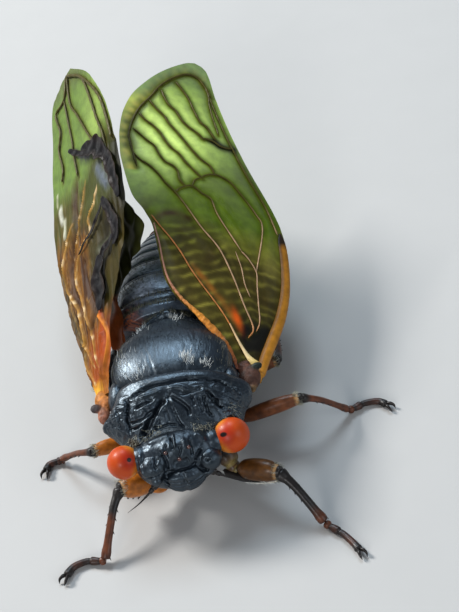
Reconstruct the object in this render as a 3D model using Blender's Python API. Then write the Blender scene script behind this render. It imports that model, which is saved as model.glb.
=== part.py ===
"""Periodical cicada standing on its six feet, life size, as a still museum model.

Every size below is in millimetres in the insect's own frame: the head looks along -Y, +Z is up,
the insect's left side is +X, and the zero point lies on the body axis under the thorax shield.
The empty "cicada" moves the whole insect so that the model's origin is the middle of its
footprint on the floor.
"""
import math

import bmesh
import bpy
from mathutils import Matrix, Vector
from mathutils.geometry import delaunay_2d_cdt

MM = 0.001
GAP = 0.3
WELD = 0.004
FLOOR = -5.6
ORIGIN = (2.0, 2.8, FLOOR)

# Shield over the front of the thorax: its collar's groove, and how far its hourglass leans
COLLAR_GROOVE = 6.85
HOURGLASS_SWAY = -0.2

# Head, which is turned a little to the insect's left
HEAD_PIVOT = (-0.36, -9.5, 0.2)
HEAD_YAW = math.radians(8.0)
EYES = {"l": ((3.83, -1.1, -0.2), (1.27, 1.2, 1.24)), "r": ((-3.68, -1.1, -0.2), (1.14, 1.12, 1.18))}

# Swellings fused to the head: centre and radii of the one on the insect's left or in the middle
FACE = ((0.0, -2.5, -1.4), (1.45, 1.25, 1.6))
FACE_LEAN = -12.0
BROW = ((1.95, -1.95, -0.4), (1.2, 1.05, 0.95))
SOCKET = ((1.75, -2.6, -1.1), (0.62, 0.5, 0.5))
EYE_STALK = ((2.75, -1.15, -0.1), (0.9, 1.0, 1.1))
SIDE_OCELLUS = ((0.8, -2.1, 0.83), (0.2, 0.2, 0.2))
FRONT_OCELLUS = ((0.0, -2.62, 0.42), (0.2, 0.2, 0.2))

# Half width, top and bottom of each body form at its stations along Y
HEAD_STATIONS = (
    (-0.25, 2.9, 0.75, -2.1),
    (-0.7, 3.25, 1.05, -2.3),
    (-1.4, 3.3, 1.1, -2.5),
    (-2.0, 2.95, 0.88, -2.7),
    (-2.5, 2.4, 0.5, -2.8),
    (-2.9, 1.8, 0.1, -2.7),
    (-3.15, 1.0, -0.4, -2.3),
)
PRONOTUM_STATIONS = (
    (-10.05, 3.1, 0.9, -1.4),
    (-9.7, 3.5, 1.3, -1.7),
    (-9.2, 4.0, 1.75, -1.9),
    (-8.7, 4.4, 2.1, -1.9),
    (-8.2, 4.65, 2.4, -1.9),
    (-7.6, 4.75, 2.72, -1.8),
    (-7.0, 4.75, 2.92, -1.6),
    (-6.5, 4.65, 3.0, -1.3),
    (-6.2, 4.45, 2.95, -1.1),
)
MESONOTUM_STATIONS = (
    (-6.5, 3.3, 2.35, -0.4),
    (-5.6, 4.0, 2.75, -0.4),
    (-4.6, 4.3, 2.95, -0.4),
    (-3.4, 4.3, 3.0, -0.4),
    (-2.2, 3.95, 2.85, -0.4),
    (-1.2, 3.3, 2.6, -0.4),
    (-0.3, 2.4, 2.4, -0.3),
    (0.4, 1.6, 2.3, 0.2),
    (0.9, 1.1, 2.0, 0.7),
)
THORAX_STATIONS = (
    (-9.3, 2.3, -0.3, -2.2),
    (-8.6, 3.2, 0.2, -2.7),
    (-7.0, 3.9, 0.5, -3.0),
    (-5.0, 4.05, 0.6, -3.1),
    (-3.0, 4.0, 0.6, -3.1),
    (-1.2, 3.8, 0.5, -3.0),
    (0.3, 3.6, 0.4, -2.8),
)
ABDOMEN_STATIONS = (
    (0.75, 3.6, 2.1, -2.5),
    (2.0, 4.0, 2.3, -2.7),
    (4.0, 4.15, 2.25, -3.0),
    (6.0, 3.9, 1.9, -3.2),
    (8.0, 3.55, 1.4, -3.15),
    (10.0, 2.9, 0.7, -3.0),
    (11.6, 2.2, 0.0, -2.8),
    (12.7, 1.6, -0.5, -2.5),
)
TERGITE_EDGES = (1.9, 3.6, 5.2, 6.8, 8.3, 9.7, 11.0, 12.0)
TERGITE_STEP = 0.05

# Joints of each leg, how thick it is beside the fore legs, and its thigh's half width
LEGS = {
    "fore_l": dict(root=(2.4, -8.3, -2.3), hip=(3.3, -9.7, -3.5), knee=(6.5, -11.6, -2.3),
                   ankle=(9.0, -14.6, -5.1), toe=(10.9, -16.8), thick=1.0, thigh=0.84),
    "fore_r": dict(root=(-2.2, -8.3, -2.3), hip=(-2.1, -10.2, -3.8), knee=(-4.75, -11.4, -2.4),
                   ankle=(-6.15, -15.1, -5.1), toe=(-8.8, -15.9), thick=1.0, thigh=0.84),
    "mid_l": dict(root=(2.1, -4.9, -2.6), hip=(3.7, -6.1, -3.2), knee=(8.9, -5.8, -2.0),
                  ankle=(12.0, -4.9, -5.1), toe=(14.6, -4.7), thick=0.85, thigh=0.6),
    "mid_r": dict(root=(-2.1, -4.9, -2.6), hip=(-3.2, -6.3, -3.4), knee=(-6.6, -7.6, -2.5),
                  ankle=(-9.1, -5.6, -5.1), toe=(-10.5, -6.4), thick=0.85, thigh=0.6),
    "hind_l": dict(root=(2.3, -1.2, -2.6), hip=(3.5, -1.7, -3.5), knee=(7.6, -1.2, -2.7),
                   ankle=(7.6, 4.6, -5.1), toe=(8.3, 7.0), thick=0.8, thigh=0.55),
    "hind_r": dict(root=(-2.3, -1.2, -2.6), hip=(-3.3, -1.5, -3.5), knee=(-6.4, -0.8, -2.9),
                   ankle=(-6.3, 5.0, -5.1), toe=(-6.7, 7.5), thick=0.8, thigh=0.55),
}
COXA_RADIUS = 0.85
TIBIA_RADIUS = 0.42
TARSUS_RADIUS = 0.3

# Wings: where each hinges, how its plane is turned, and how it is domed
WING_THICK = 0.5
WING_FILL = 1.7
LEFT_WING = dict(base=(5.2, -4.7, 0.6), side=1, yaw=0.0, lift=15.0, roll=25.0,
                 across=0.018, across_mid=1.5, along=0.0012, along_mid=8.0)
RIGHT_WING = dict(base=(-5.2, -4.7, 0.6), side=-1, yaw=0.0, lift=18.0, roll=50.0,
                  across=0.0, across_mid=0.0, along=0.0, along_mid=0.0)
WING_BASE_LEFT = ((5.35, -5.95, 0.65), (0.6, 1.25, 0.55))
WING_BASE_RIGHT = ((-5.4, -6.0, 0.5), (0.65, 0.75, 0.6))
FOREWING_OUTLINE = (
    (-0.9, -0.9), (0.5, -1.8), (2.4, -2.8), (5.4, -4.1), (8.6, -4.8), (11.9, -4.9), (14.5, -4.2),
    (17.4, -2.9), (20.7, -1.7), (24.1, -0.8), (27.2, -0.3), (28.5, 0.5), (28.4, 1.6), (27.7, 2.8),
    (26.3, 4.7), (24.5, 6.3), (22.8, 7.1), (21.0, 7.5), (18.0, 7.6), (14.8, 7.1), (12.0, 5.8),
    (9.0, 5.4), (6.3, 4.9), (3.4, 2.6), (1.6, 1.3), (0.0, 0.8),
)
FOREWING_VEINS = {
    "costa": (0.45, 0.4, ((0.6, -1.3), (2.6, -2.35), (5.5, -3.6), (8.6, -4.3), (11.9, -4.4))),
    "radius": (0.35, 0.22, ((12.3, -4.3), (14.7, -3.6), (17.6, -2.3), (20.8, -1.15), (24.0, -0.3),
                            (25.9, 0.1))),
    "ambient": (0.3, 0.2, ((18.0, 6.9), (20.7, 6.8), (22.2, 6.3), (24.4, 4.8), (25.5, 4.0),
                           (26.4, 3.0), (27.1, 1.7), (26.9, 0.7), (25.9, 0.1))),
    "cubitus": (0.3, 0.22, ((2.0, -0.7), (3.5, -1.0), (5.4, -0.5), (7.8, 0.1), (10.1, 0.9),
                            (11.9, 2.1), (13.8, 3.1), (15.9, 4.5), (17.4, 5.5), (18.7, 6.7))),
    "anal": (0.4, 0.35, ((0.6, 0.4), (2.1, 1.1), (3.6, 2.1), (5.3, 3.6), (7.4, 4.7), (10.2, 5.1),
                         (12.0, 5.35), (14.9, 6.6), (18.0, 7.1))),
    "claval": (0.3, 0.22, ((0.9, -0.3), (1.7, 0.1), (4.6, 1.3), (6.8, 2.6), (9.5, 3.9),
                           (11.9, 5.3))),
    "median": (0.3, 0.22, ((2.0, -1.5), (4.1, -1.6), (7.1, -1.8), (8.4, -1.9), (10.1, -0.9),
                           (13.1, 0.6), (14.6, 1.0), (15.7, 2.4), (15.0, 3.8))),
    "arch": (0.3, 0.2, ((8.4, -1.9), (12.5, -2.9), (15.9, -1.3), (17.0, 0.8), (16.7, 1.5),
                        (15.7, 2.4))),
}
APICAL_VEINS = (
    ((21.1, 6.7), (19.9, 5.5), (18.6, 4.7), (17.0, 3.4), (15.7, 2.4)),
    ((22.7, 6.1), (21.4, 4.9), (19.3, 3.7), (18.0, 2.7), (16.7, 1.5)),
    ((24.1, 5.0), (22.4, 3.9), (20.0, 2.5), (18.4, 1.4), (17.0, 0.8)),
    ((25.4, 4.0), (23.0, 2.9), (21.5, 2.0), (19.9, 0.4)),
    ((26.5, 2.8), (24.7, 1.8), (22.2, 1.0), (19.9, 0.4)),
    ((25.9, 0.1), (23.0, -0.1), (21.1, -0.4), (19.6, -0.9)),
)
HINDWING_OUTLINE = (
    (2.2, -1.9), (5.0, -2.8), (8.0, -3.0), (11.5, -2.6), (14.5, -1.4), (16.4, 0.4), (16.8, 2.2),
    (15.8, 3.8), (13.2, 4.6), (10.0, 4.5), (7.2, 3.9), (5.0, 2.9), (3.2, 1.4), (2.0, 0.1),
)
HINDWING_VEINS = (
    ((2.9, -1.5), (5.2, -2.2), (8.2, -2.4), (11.3, -2.0), (14.0, -0.9), (15.6, 0.8)),
    ((3.0, -0.9), (6.0, -0.6), (9.0, 0.2), (12.0, 1.6), (14.6, 2.6)),
    ((3.4, 0.0), (6.0, 1.2), (9.0, 2.4), (12.2, 3.6)),
)

# The shrivelled forewing: its outer and inner edge, and how its folds stand across it
CRUMPLED_OUTER = ((-0.1, -0.6), (2.7, -1.5), (5.7, -2.6), (9.3, -4.0), (13.4, -4.9), (16.6, -5.0),
                  (19.7, -4.6), (23.7, -4.8), (26.9, -4.4), (28.6, -3.1))
CRUMPLED_INNER = ((-0.3, 1.0), (2.5, 1.4), (4.5, 2.2), (6.7, 4.3), (9.9, 6.6), (13.0, 5.2),
                  (16.1, 4.9), (19.5, 4.6), (22.7, 3.8), (25.2, 2.8), (27.2, 1.5), (29.0, -0.8))
HIND_CRUMPLED_OUTER = ((3.0, -0.9), (6.0, -1.3), (8.5, -1.6), (11.2, -1.8), (13.4, -1.2), (15.9, -0.3),
                       (17.7, 0.2), (19.4, 0.6))
HIND_CRUMPLED_INNER = ((3.0, 1.0), (5.0, 0.6), (7.4, 0.6), (8.7, 1.2), (9.5, 2.6), (10.2, 4.0), (11.0, 4.7),
                       (12.6, 4.1), (15.0, 2.7), (17.4, 1.9), (19.4, 1.5))
HIND_CRUMPLED_ROWS = 16
HIND_CRUMPLED_FOLDS = 6
HIND_CRUMPLED_HEIGHT = 0.3
HIND_CRUMPLED_DROP = 1.9
CRUMPLED_ROWS = 22
CRUMPLED_FOLDS = 10
CRUMPLED_HEIGHT = 0.42
CRUMPLED_THICK = 0.6

# Points round a body form's upper and lower half, and where between them its widest line runs
BODY_SIDES = (12, 12)
SHIELD_SIDES = (38, 8)
WAIST = 0.45
LIMB_SIDES = 8
CAP_TURNS = (1.1, 0.55)

COLOURS = {
    "cuticle": ((0.012, 0.014, 0.018), 0.35, 0.0),
    "eye": ((0.75, 0.09, 0.015), 0.12, 0.0),
    "membrane": ((0.33, 0.34, 0.06), 0.25, 0.0),
    "wrinkled": ((0.35, 0.16, 0.04), 0.35, 0.0),
    "hinge": ((0.35, 0.2, 0.1), 0.4, 0.0),
    "amber": ((0.42, 0.13, 0.02), 0.3, 0.0),
    "shin": ((0.06, 0.02, 0.012), 0.35, 0.0),
}


def material(kind):
    """One finish of the insect, made once and shared."""
    if kind in bpy.data.materials:
        return bpy.data.materials[kind]
    colour, roughness, metallic = COLOURS[kind]
    finish = bpy.data.materials.new(kind)
    finish.use_nodes = True
    shader = finish.node_tree.nodes["Principled BSDF"]
    shader.inputs["Base Color"].default_value = (*colour, 1.0)
    shader.inputs["Roughness"].default_value = roughness
    shader.inputs["Metallic"].default_value = metallic
    return finish


def add_piece(name, form, kind, parent):
    """Turn a closed bmesh in millimetres into a named piece of the insect."""
    bmesh.ops.recalc_face_normals(form, faces=form.faces)
    bmesh.ops.scale(form, vec=(MM, MM, MM), verts=form.verts)
    mesh = bpy.data.meshes.new(name)
    form.to_mesh(mesh)
    form.free()
    mesh.materials.append(material(kind))
    mesh.shade_smooth()
    mesh.set_sharp_from_angle(angle=math.radians(40))
    piece = bpy.data.objects.new(name, mesh)
    piece.parent = parent
    insect.objects.link(piece)
    return piece


def along(stations, place):
    """Values between the stations, on a smooth curve through them; the first value is the place."""
    last = len(stations) - 1
    index = 0
    while index < last - 1 and (place - stations[index + 1][0]) * (stations[-1][0] - stations[0][0]) > 0:
        index += 1
    before = stations[max(index - 1, 0)]
    start = stations[index]
    end = stations[index + 1]
    after = stations[min(index + 2, last)]
    span = end[0] - start[0]
    share = (place - start[0]) / span
    values = []
    for a, b, c, d in zip(before[1:], start[1:], end[1:], after[1:]):
        rise_in = (c - a) / (end[0] - before[0]) * span
        rise_out = (d - b) / (after[0] - start[0]) * span
        values.append((2 * share ** 3 - 3 * share ** 2 + 1) * b
                      + (share ** 3 - 2 * share ** 2 + share) * rise_in
                      + (3 * share ** 2 - 2 * share ** 3) * c
                      + (share ** 3 - share ** 2) * rise_out)
    return values


def ring(place, half_width, top, bottom, power, relief, sides=BODY_SIDES):
    """One cross-section of a body form, with its relief worked in.

    Sides gives the number of points over its upper half and under its lower half.
    """
    middle = bottom + (top - bottom) * WAIST
    turns = [step / sides[0] for step in range(sides[0])]
    turns += [1 + step / sides[1] for step in range(sides[1])]
    points = []
    for turn in turns:
        angle = math.pi * turn
        cosine = math.cos(angle)
        sine = math.sin(angle)
        height = top - middle if sine > 0 else middle - bottom
        x = half_width * math.copysign(abs(cosine) ** (2 / power), cosine)
        z = height * math.copysign(abs(sine) ** (2 / power), sine)
        reach = math.hypot(x, z)
        stretch = 1 + relief(x, place, sine) / reach
        points.append((x * stretch, place, middle + z * stretch))
    return points


def bridge(form, rings):
    """Join rings of points into one closed skin with a fan over each end."""
    rows = [[form.verts.new(point) for point in points] for points in rings]
    count = len(rows[0])
    for row, following in zip(rows, rows[1:]):
        for step in range(count):
            after = (step + 1) % count
            form.faces.new((row[step], row[after], following[after], following[step]))
    for row in (rows[0], rows[-1]):
        middle = sum((vert.co for vert in row), Vector()) / count
        peak = form.verts.new(middle)
        for step in range(count):
            form.faces.new((row[step], row[(step + 1) % count], peak))


def body_form(name, stations, rings, power, relief, kind, parent, sides=BODY_SIDES):
    """A body form lofted through evenly spread sections of its stations."""
    form = bmesh.new()
    first = stations[0][0]
    last = stations[-1][0]
    places = [first + (last - first) * step / (rings - 1) for step in range(rings)]
    bridge(form, [ring(place, *along(stations, place), power, relief, sides) for place in places])
    return add_piece(name, form, kind, parent)


def bell(distance, width):
    """A smooth hump of height 1 that fades over the given width."""
    return math.exp(-(distance / width) ** 2)


def no_relief(x, y, up):
    return 0.0


def head_relief(x, y, up):
    """The swelling that carries the ocelli, the groove down the crown and a dip on each side."""
    if up <= 0:
        return 0.0
    crown = 0.16 * bell(x, 0.85) * bell(y + 2.1, 0.6)
    crease = 0.2 * bell(x, 0.22) * bell(y + 1.2, 0.7)
    dip = 0.16 * bell(abs(x) - 1.5, 0.4) * bell(y + 1.7, 0.7)
    return (crown - crease - dip) * up


def pronotum_relief(x, y, up):
    """The shield's hourglass field, its furrowed side lobes, its collar and its side flanges."""
    flange = 0.6 * bell(up, 0.3) * bell((y + 7.5) ** 2, 1.5)
    if up <= 0.1:
        return flange
    ahead = -7.8 - y
    middle = HOURGLASS_SWAY * ahead
    half = 0.12 + 0.75 * max(ahead, 0) + 1.6 * max(-ahead, 0)
    trough = half + 0.42
    behind = bell(min(ahead, 0), 0.9)
    furrow = 0.36 * bell(abs(x - middle) - trough, 0.4) * behind
    side = 0.3 * bell(abs(x) - 3.25 - 0.12 * ahead, 0.28) * bell(y + 8.6, 0.75)
    groove = 0.3 * bell(y + COLLAR_GROOVE + 0.03 * x * x, 0.2) * bell(x, 5)
    return flange - furrow - side - groove


def mesonotum_relief(x, y, up):
    """The raised cross at the rear of the shield, with a hollow on each side of it."""
    if up <= 0.1:
        return 0.0
    cross = 0.25 * bell(abs(x) - 0.6 * abs(y + 0.1) - 0.2, 0.35) * bell(y + 0.1, 0.9)
    hollow = 0.2 * bell(abs(x) - 1.5, 0.5) * bell(y - 0.1, 0.6)
    return cross - hollow


def spare(piece):
    """A copy of a piece as it stands now, from which its neighbours are cut clear later."""
    copy = piece.copy()
    copy.data = piece.data.copy()
    return copy


def outward_copy(piece, gap):
    """A cutter: a copy of a piece whose skin stands further out by the gap."""
    cutter = piece.copy()
    cutter.data = piece.data.copy()
    form = bmesh.new()
    form.from_mesh(cutter.data)
    form.normal_update()
    shifts = [vert.normal * gap * MM * min(vert.calc_shell_factor(), 1.5) for vert in form.verts]
    for vert, shift in zip(form.verts, shifts):
        vert.co += shift
    form.to_mesh(cutter.data)
    form.free()
    cutter.name = "cutter_" + piece.name
    cutter.hide_render = True
    cutter.display_type = "WIRE"
    cutters.objects.link(cutter)
    return cutter


def keep_largest(mesh):
    """Drop every loose scrap of a cut, weld its closest points and leave triangles."""
    form = bmesh.new()
    form.from_mesh(mesh)
    bmesh.ops.remove_doubles(form, verts=form.verts, dist=WELD * MM)
    bmesh.ops.dissolve_degenerate(form, dist=WELD * MM, edges=form.edges)
    bmesh.ops.triangulate(form, faces=form.faces)
    waiting = set(form.faces)
    bodies = []
    while waiting:
        first = waiting.pop()
        body = [first]
        for face in body:
            for edge in face.edges:
                for neighbour in edge.link_faces:
                    if neighbour in waiting:
                        waiting.remove(neighbour)
                        body.append(neighbour)
        bodies.append(body)
    bodies.sort(key=lambda body: sum(face.calc_area() for face in body))
    scraps = [face for body in bodies[:-1] for face in body]
    bmesh.ops.delete(form, geom=scraps, context="FACES")
    form.to_mesh(mesh)
    form.free()


def apply_booleans(piece):
    """Keep the outcome of a piece's Boolean modifiers as its own mesh."""
    bpy.context.view_layer.update()
    graph = bpy.context.evaluated_depsgraph_get()
    mesh = bpy.data.meshes.new_from_object(piece.evaluated_get(graph))
    piece.modifiers.clear()
    piece.data = mesh
    keep_largest(mesh)
    mesh.shade_smooth()
    mesh.set_sharp_from_angle(angle=math.radians(40))


def cut_clear(piece, *neighbours):
    """Cut a piece back so that it meets its neighbours face to face across the gap."""
    used = [outward_copy(neighbour, GAP) for neighbour in neighbours]
    for cutter in used:
        cut = piece.modifiers.new(cutter.name, "BOOLEAN")
        cut.operation = "DIFFERENCE"
        cut.solver = "EXACT"
        cut.object = cutter
    apply_booleans(piece)
    for cutter in used:
        bpy.data.objects.remove(cutter)


def join_into(piece, extras):
    """Fuse closed extras into a piece with one Boolean union, then remove them."""
    group = bpy.data.collections.new("joined_" + piece.name)
    bpy.context.scene.collection.children.link(group)
    for extra in extras:
        insect.objects.unlink(extra)
        group.objects.link(extra)
    union = piece.modifiers.new("union", "BOOLEAN")
    union.operation = "UNION"
    union.solver = "EXACT"
    union.operand_type = "COLLECTION"
    union.collection = group
    apply_booleans(piece)
    for extra in extras:
        bpy.data.objects.remove(extra)
    bpy.data.collections.remove(group)


def limb(name, start, end, radius, kind, parent, sides=LIMB_SIDES, marks=4, floor=None):
    """A rounded, tapering length of leg; radius gives the thickness along it from 0 to 1."""
    start = Vector(start)
    end = Vector(end)
    axis = (end - start).normalized()
    side = axis.cross(Vector((0, 0, 1))).normalized()
    up = side.cross(axis)
    length = (end - start).length
    first = radius(0)
    last = radius(1)
    steps = [(-first * math.sin(turn), first * math.cos(turn)) for turn in CAP_TURNS]
    steps += [(length * mark / marks, radius(mark / marks)) for mark in range(marks + 1)]
    steps += [(length + last * math.sin(turn), last * math.cos(turn)) for turn in reversed(CAP_TURNS)]
    rings = []
    for place, reach in steps:
        points = []
        for step in range(sides):
            angle = 2 * math.pi * (step + 0.5) / sides
            point = start + axis * place + (side * math.cos(angle) + up * math.sin(angle)) * reach
            if floor is not None:
                point.z = max(point.z, floor)
            points.append(point)
        rings.append(points)
    form = bmesh.new()
    bridge(form, rings)
    return add_piece(name, form, kind, parent)


def leg(name, root, hip, knee, ankle, toe, thick, thigh, body, parent):
    """Coxa, femur, tibia and tarsus with its two claws, each cupped round the end of the last."""
    hip = Vector(hip)
    knee = Vector(knee)
    ankle = Vector(ankle)
    hip_ball = COXA_RADIUS * thick * 0.75
    coxa = limb("coxa_" + name, root, hip, lambda share: COXA_RADIUS * thick * (1 - 0.25 * share),
                "cuticle", parent, marks=2)
    cut_clear(coxa, body)
    reach = (knee - hip).normalized()
    femur = limb("femur_" + name, hip + reach * hip_ball, knee,
                 lambda share: thigh * (0.58 + 0.42 * math.sin(math.pi * (0.15 + 0.75 * share))),
                 "amber", parent)
    cut_clear(femur, coxa)
    shin = TIBIA_RADIUS * thick
    reach = (ankle - knee).normalized()
    tibia = limb("tibia_" + name, knee + reach * thigh * 0.5, ankle,
                 lambda share: shin * (1.08 - 0.3 * share), "shin", parent)
    cut_clear(tibia, femur)
    toe = Vector((toe[0], toe[1], FLOOR + TARSUS_RADIUS * 0.8))
    heel = Vector((ankle.x, ankle.y, toe.z))
    reach = (toe - heel).normalized()
    tarsus = limb("tarsus_" + name, heel + reach * shin * 0.5, toe,
                  lambda share: TARSUS_RADIUS * (1 - 0.12 * share), "cuticle", parent, floor=FLOOR)
    cut_clear(tarsus, tibia)
    claws = []
    across = reach.cross(Vector((0, 0, 1)))
    for side in (-1, 1):
        tip = toe + reach * 0.75 + across * side * 0.42
        tip.z = FLOOR + 0.16
        claws.append(limb("claw", toe, tip, lambda share: 0.24 - 0.1 * share, "cuticle", parent,
                          sides=6, marks=1, floor=FLOOR))
    join_into(tarsus, claws)


def wing_frame(wing):
    """The directions along a wing, across it towards its hind edge, and out of its plane."""
    yaw = math.radians(wing["yaw"])
    lift = math.radians(wing["lift"])
    roll = math.radians(wing["roll"])
    side = wing["side"]
    length = Vector((side * math.sin(yaw) * math.cos(lift), math.cos(yaw) * math.cos(lift),
                     math.sin(lift)))
    inward = Vector((-side * math.cos(yaw), math.sin(yaw), 0))
    up = length.cross(inward)
    if up.z < 0:
        up.negate()
    across = inward * math.cos(roll) + up * math.sin(roll)
    out = length.cross(across)
    if out.z < 0:
        out.negate()
    return length, across, out


def wing_point(wing, s, t, height):
    """A point at s along and t across a wing, raised by height from its domed middle."""
    length, across, out = wing_frame(wing)
    dome = wing["across"] * (t - wing["across_mid"]) ** 2 + wing["along"] * (s - wing["along_mid"]) ** 2
    return Vector(wing["base"]) + length * s + across * t + out * (height - dome)


def smooth_line(points, step, closed=False):
    """Evenly spaced points on a smooth curve through the given ones."""
    points = [Vector(point) for point in points]
    count = len(points)
    spans = count if closed else count - 1
    fine = []
    for span in range(spans):
        if closed:
            a, b, c, d = (points[(span + shift) % count] for shift in (-1, 0, 1, 2))
        else:
            a, b, c, d = (points[min(max(span + shift, 0), count - 1)] for shift in (-1, 0, 1, 2))
        for part in range(8):
            u = part / 8
            fine.append(0.5 * ((2 * b) + (c - a) * u + (2 * a - 5 * b + 4 * c - d) * u ** 2
                               + (3 * b - a - 3 * c + d) * u ** 3))
    fine.append(points[0] if closed else points[-1])
    total = sum((after - before).length for before, after in zip(fine, fine[1:]))
    parts = max(2, round(total / step))
    spacing = total / parts
    even = [fine[0]]
    walked = 0.0
    for before, after in zip(fine, fine[1:]):
        length = (after - before).length
        while len(even) < parts and walked + length >= spacing * len(even):
            share = (spacing * len(even) - walked) / length
            even.append(before.lerp(after, share))
        walked += length
    if not closed:
        even.append(fine[-1])
    return even


def distance_to(point, line):
    """How far a flat point lies from a line of points."""
    best = 1e9
    for before, after in zip(line, line[1:]):
        edge = after - before
        share = min(max((point - before).dot(edge) / edge.length_squared, 0), 1)
        best = min(best, (point - before - edge * share).length)
    return best


def inside(point, loop):
    """Whether a flat point lies inside a closed loop of points."""
    hit = False
    for a, b in zip(loop, loop[1:] + loop[:1]):
        if (a.y > point.y) != (b.y > point.y):
            if point.x < (b.x - a.x) * (point.y - a.y) / (b.y - a.y) + a.x:
                hit = not hit
    return hit


def wing_plate(name, wing, outline, veins, drop, kind, parent):
    """A wing as one plate, split alike on both faces, with its veins raised as ridges on top.

    Each vein is its half width, its height and the line it follows.
    """
    edge = smooth_line(outline, 1.1, closed=True)
    closed_edge = edge + edge[:1]
    lines = [(width, height, smooth_line(line, 1.0)) for width, height, line in veins]
    points = list(edge)
    links = [(step, (step + 1) % len(edge)) for step in range(len(edge))]
    for width, height, line in lines:
        last = None
        for point in line:
            if not inside(point, edge) or distance_to(point, closed_edge) < 0.22:
                last = None
                continue
            near = [index for index, other in enumerate(points) if (other - point).length < 0.3]
            if near:
                index = min(near, key=lambda choice: (points[choice] - point).length)
            else:
                index = len(points)
                points.append(point)
            if last is not None and last != index:
                links.append((last, index))
            last = index
    for width, height, line in lines:
        for before, after in zip(line, line[1:]):
            middle = (before + after) / 2
            turn = Vector((before.y - after.y, after.x - before.x)).normalized()
            for side in (-1, 1):
                point = middle + turn * side * width
                clear = all(distance_to(point, other) > min(w, width) * 0.95 for w, h, other in lines)
                free = all((other - point).length > 0.4 for other in points)
                if clear and free and inside(point, edge) and distance_to(point, closed_edge) > 0.3:
                    points.append(point)
    low = [min(point[axis] for point in edge) for axis in (0, 1)]
    high = [max(point[axis] for point in edge) for axis in (0, 1)]
    for column in range(int((high[0] - low[0]) / WING_FILL)):
        for row in range(int((high[1] - low[1]) / WING_FILL)):
            point = Vector((low[0] + WING_FILL * (column + 0.5 * (row % 2)), low[1] + WING_FILL * row))
            free = all((other - point).length > WING_FILL * 0.7 for other in points)
            if free and inside(point, edge) and distance_to(point, closed_edge) > 0.5:
                points.append(point)
    flat, _, faces, _, _, _ = delaunay_2d_cdt(points, links, [], 1, 0.02)
    form = bmesh.new()
    above = []
    below = []
    for point in flat:
        ridge = max((height * max(0, 1 - distance_to(point, line) / width) ** 0.6
                     for width, height, line in lines), default=0)
        above.append(form.verts.new(wing_point(wing, point.x, point.y, ridge + WING_THICK / 2 - drop)))
        below.append(form.verts.new(wing_point(wing, point.x, point.y, -WING_THICK / 2 - drop)))
    rims = {}
    for face in faces:
        form.faces.new([above[index] for index in face])
        form.faces.new([below[index] for index in reversed(face)])
        for a, b in zip(face, face[1:] + face[:1]):
            if (b, a) in rims:
                del rims[(b, a)]
            else:
                rims[(a, b)] = True
    for a, b in rims:
        form.faces.new((above[b], above[a], below[a], below[b]))
    bmesh.ops.triangulate(form, faces=form.faces)
    return add_piece(name, form, kind, parent)


def folded_sheet(name, wing, outer, inner, rows, folds, height, thick, drop, kind, parent):
    """A shrivelled wing: a pleated plate between its two edges, split alike on both faces."""
    form = bmesh.new()
    first = max(outer[0][0], inner[0][0])
    last = min(outer[-1][0], inner[-1][0])
    above = []
    below = []
    for row in range(rows + 1):
        s = first + (last - first) * row / rows
        start = along(outer, s)[0]
        end = along(inner, s)[0]
        upper = []
        lower = []
        for fold in range(folds + 1):
            share = fold / folds
            t = start + (end - start) * share
            crest = 1 if fold % 2 else -1
            sway = 0.35 * math.sin(0.9 * s + 1.7 * fold)
            lean = min(1.0, (end - start) / folds * 1.3)
            lift = height * lean * (crest * (0.75 + 0.25 * math.sin(1.3 * s + fold)) + sway)
            for side, points in ((0.5, upper), (-0.5, lower)):
                points.append(form.verts.new(wing_point(wing, s, t, lift - drop + thick * side)))
        above.append(upper)
        below.append(lower)
    for row in range(rows):
        for fold in range(folds):
            corners = ((row, fold), (row + 1, fold), (row + 1, fold + 1), (row, fold + 1))
            split = ((0, 1, 2), (0, 2, 3))
            for trio in split:
                form.faces.new([above[corners[c][0]][corners[c][1]] for c in trio])
                form.faces.new([below[corners[c][0]][corners[c][1]] for c in reversed(trio)])
    rim = [(row, 0) for row in range(rows)]
    rim += [(rows, fold) for fold in range(folds)]
    rim += [(row, folds) for row in range(rows, 0, -1)]
    rim += [(0, fold) for fold in range(folds, 0, -1)]
    for (r1, f1), (r2, f2) in zip(rim, rim[1:] + rim[:1]):
        form.faces.new((above[r1][f1], above[r2][f2], below[r2][f2], below[r1][f1]))
    bmesh.ops.triangulate(form, faces=form.faces)
    return add_piece(name, form, kind, parent)


def ball(name, centre, radii, kind, parent, segments=20, rows=12, lean=0.0):
    """An egg-shaped piece, leaning by an angle in degrees about the X axis."""
    form = bmesh.new()
    bmesh.ops.create_uvsphere(form, u_segments=segments, v_segments=rows, radius=1.0)
    bmesh.ops.scale(form, vec=radii, verts=form.verts)
    bmesh.ops.rotate(form, matrix=Matrix.Rotation(math.radians(lean), 3, "X"), verts=form.verts)
    bmesh.ops.translate(form, vec=centre, verts=form.verts)
    return add_piece(name, form, kind, parent)


def build_head(parent):
    """The crown with its brow lobes, bulging face, feeler sockets, eye stalks and three ocelli.

    Also gives a spare of each of these forms.
    """
    crown = body_form("head", HEAD_STATIONS, 16, 2.3, head_relief, "cuticle", parent)
    extras = [ball("face", *FACE, "cuticle", parent, 18, 12, FACE_LEAN)]
    extras.append(ball("front_ocellus", *FRONT_OCELLUS, "cuticle", parent, 8, 6))
    lobes = ((BROW, 14, 10), (SOCKET, 10, 8), (EYE_STALK, 12, 8), (SIDE_OCELLUS, 8, 6))
    for side in (1, -1):
        for (centre, radii), turns, rows in lobes:
            place = (side * centre[0], centre[1], centre[2])
            extras.append(ball("lobe", place, radii, "cuticle", parent, turns, rows))
    spares = [spare(form) for form in [crown] + extras]
    join_into(crown, extras)
    return crown, spares


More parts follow.
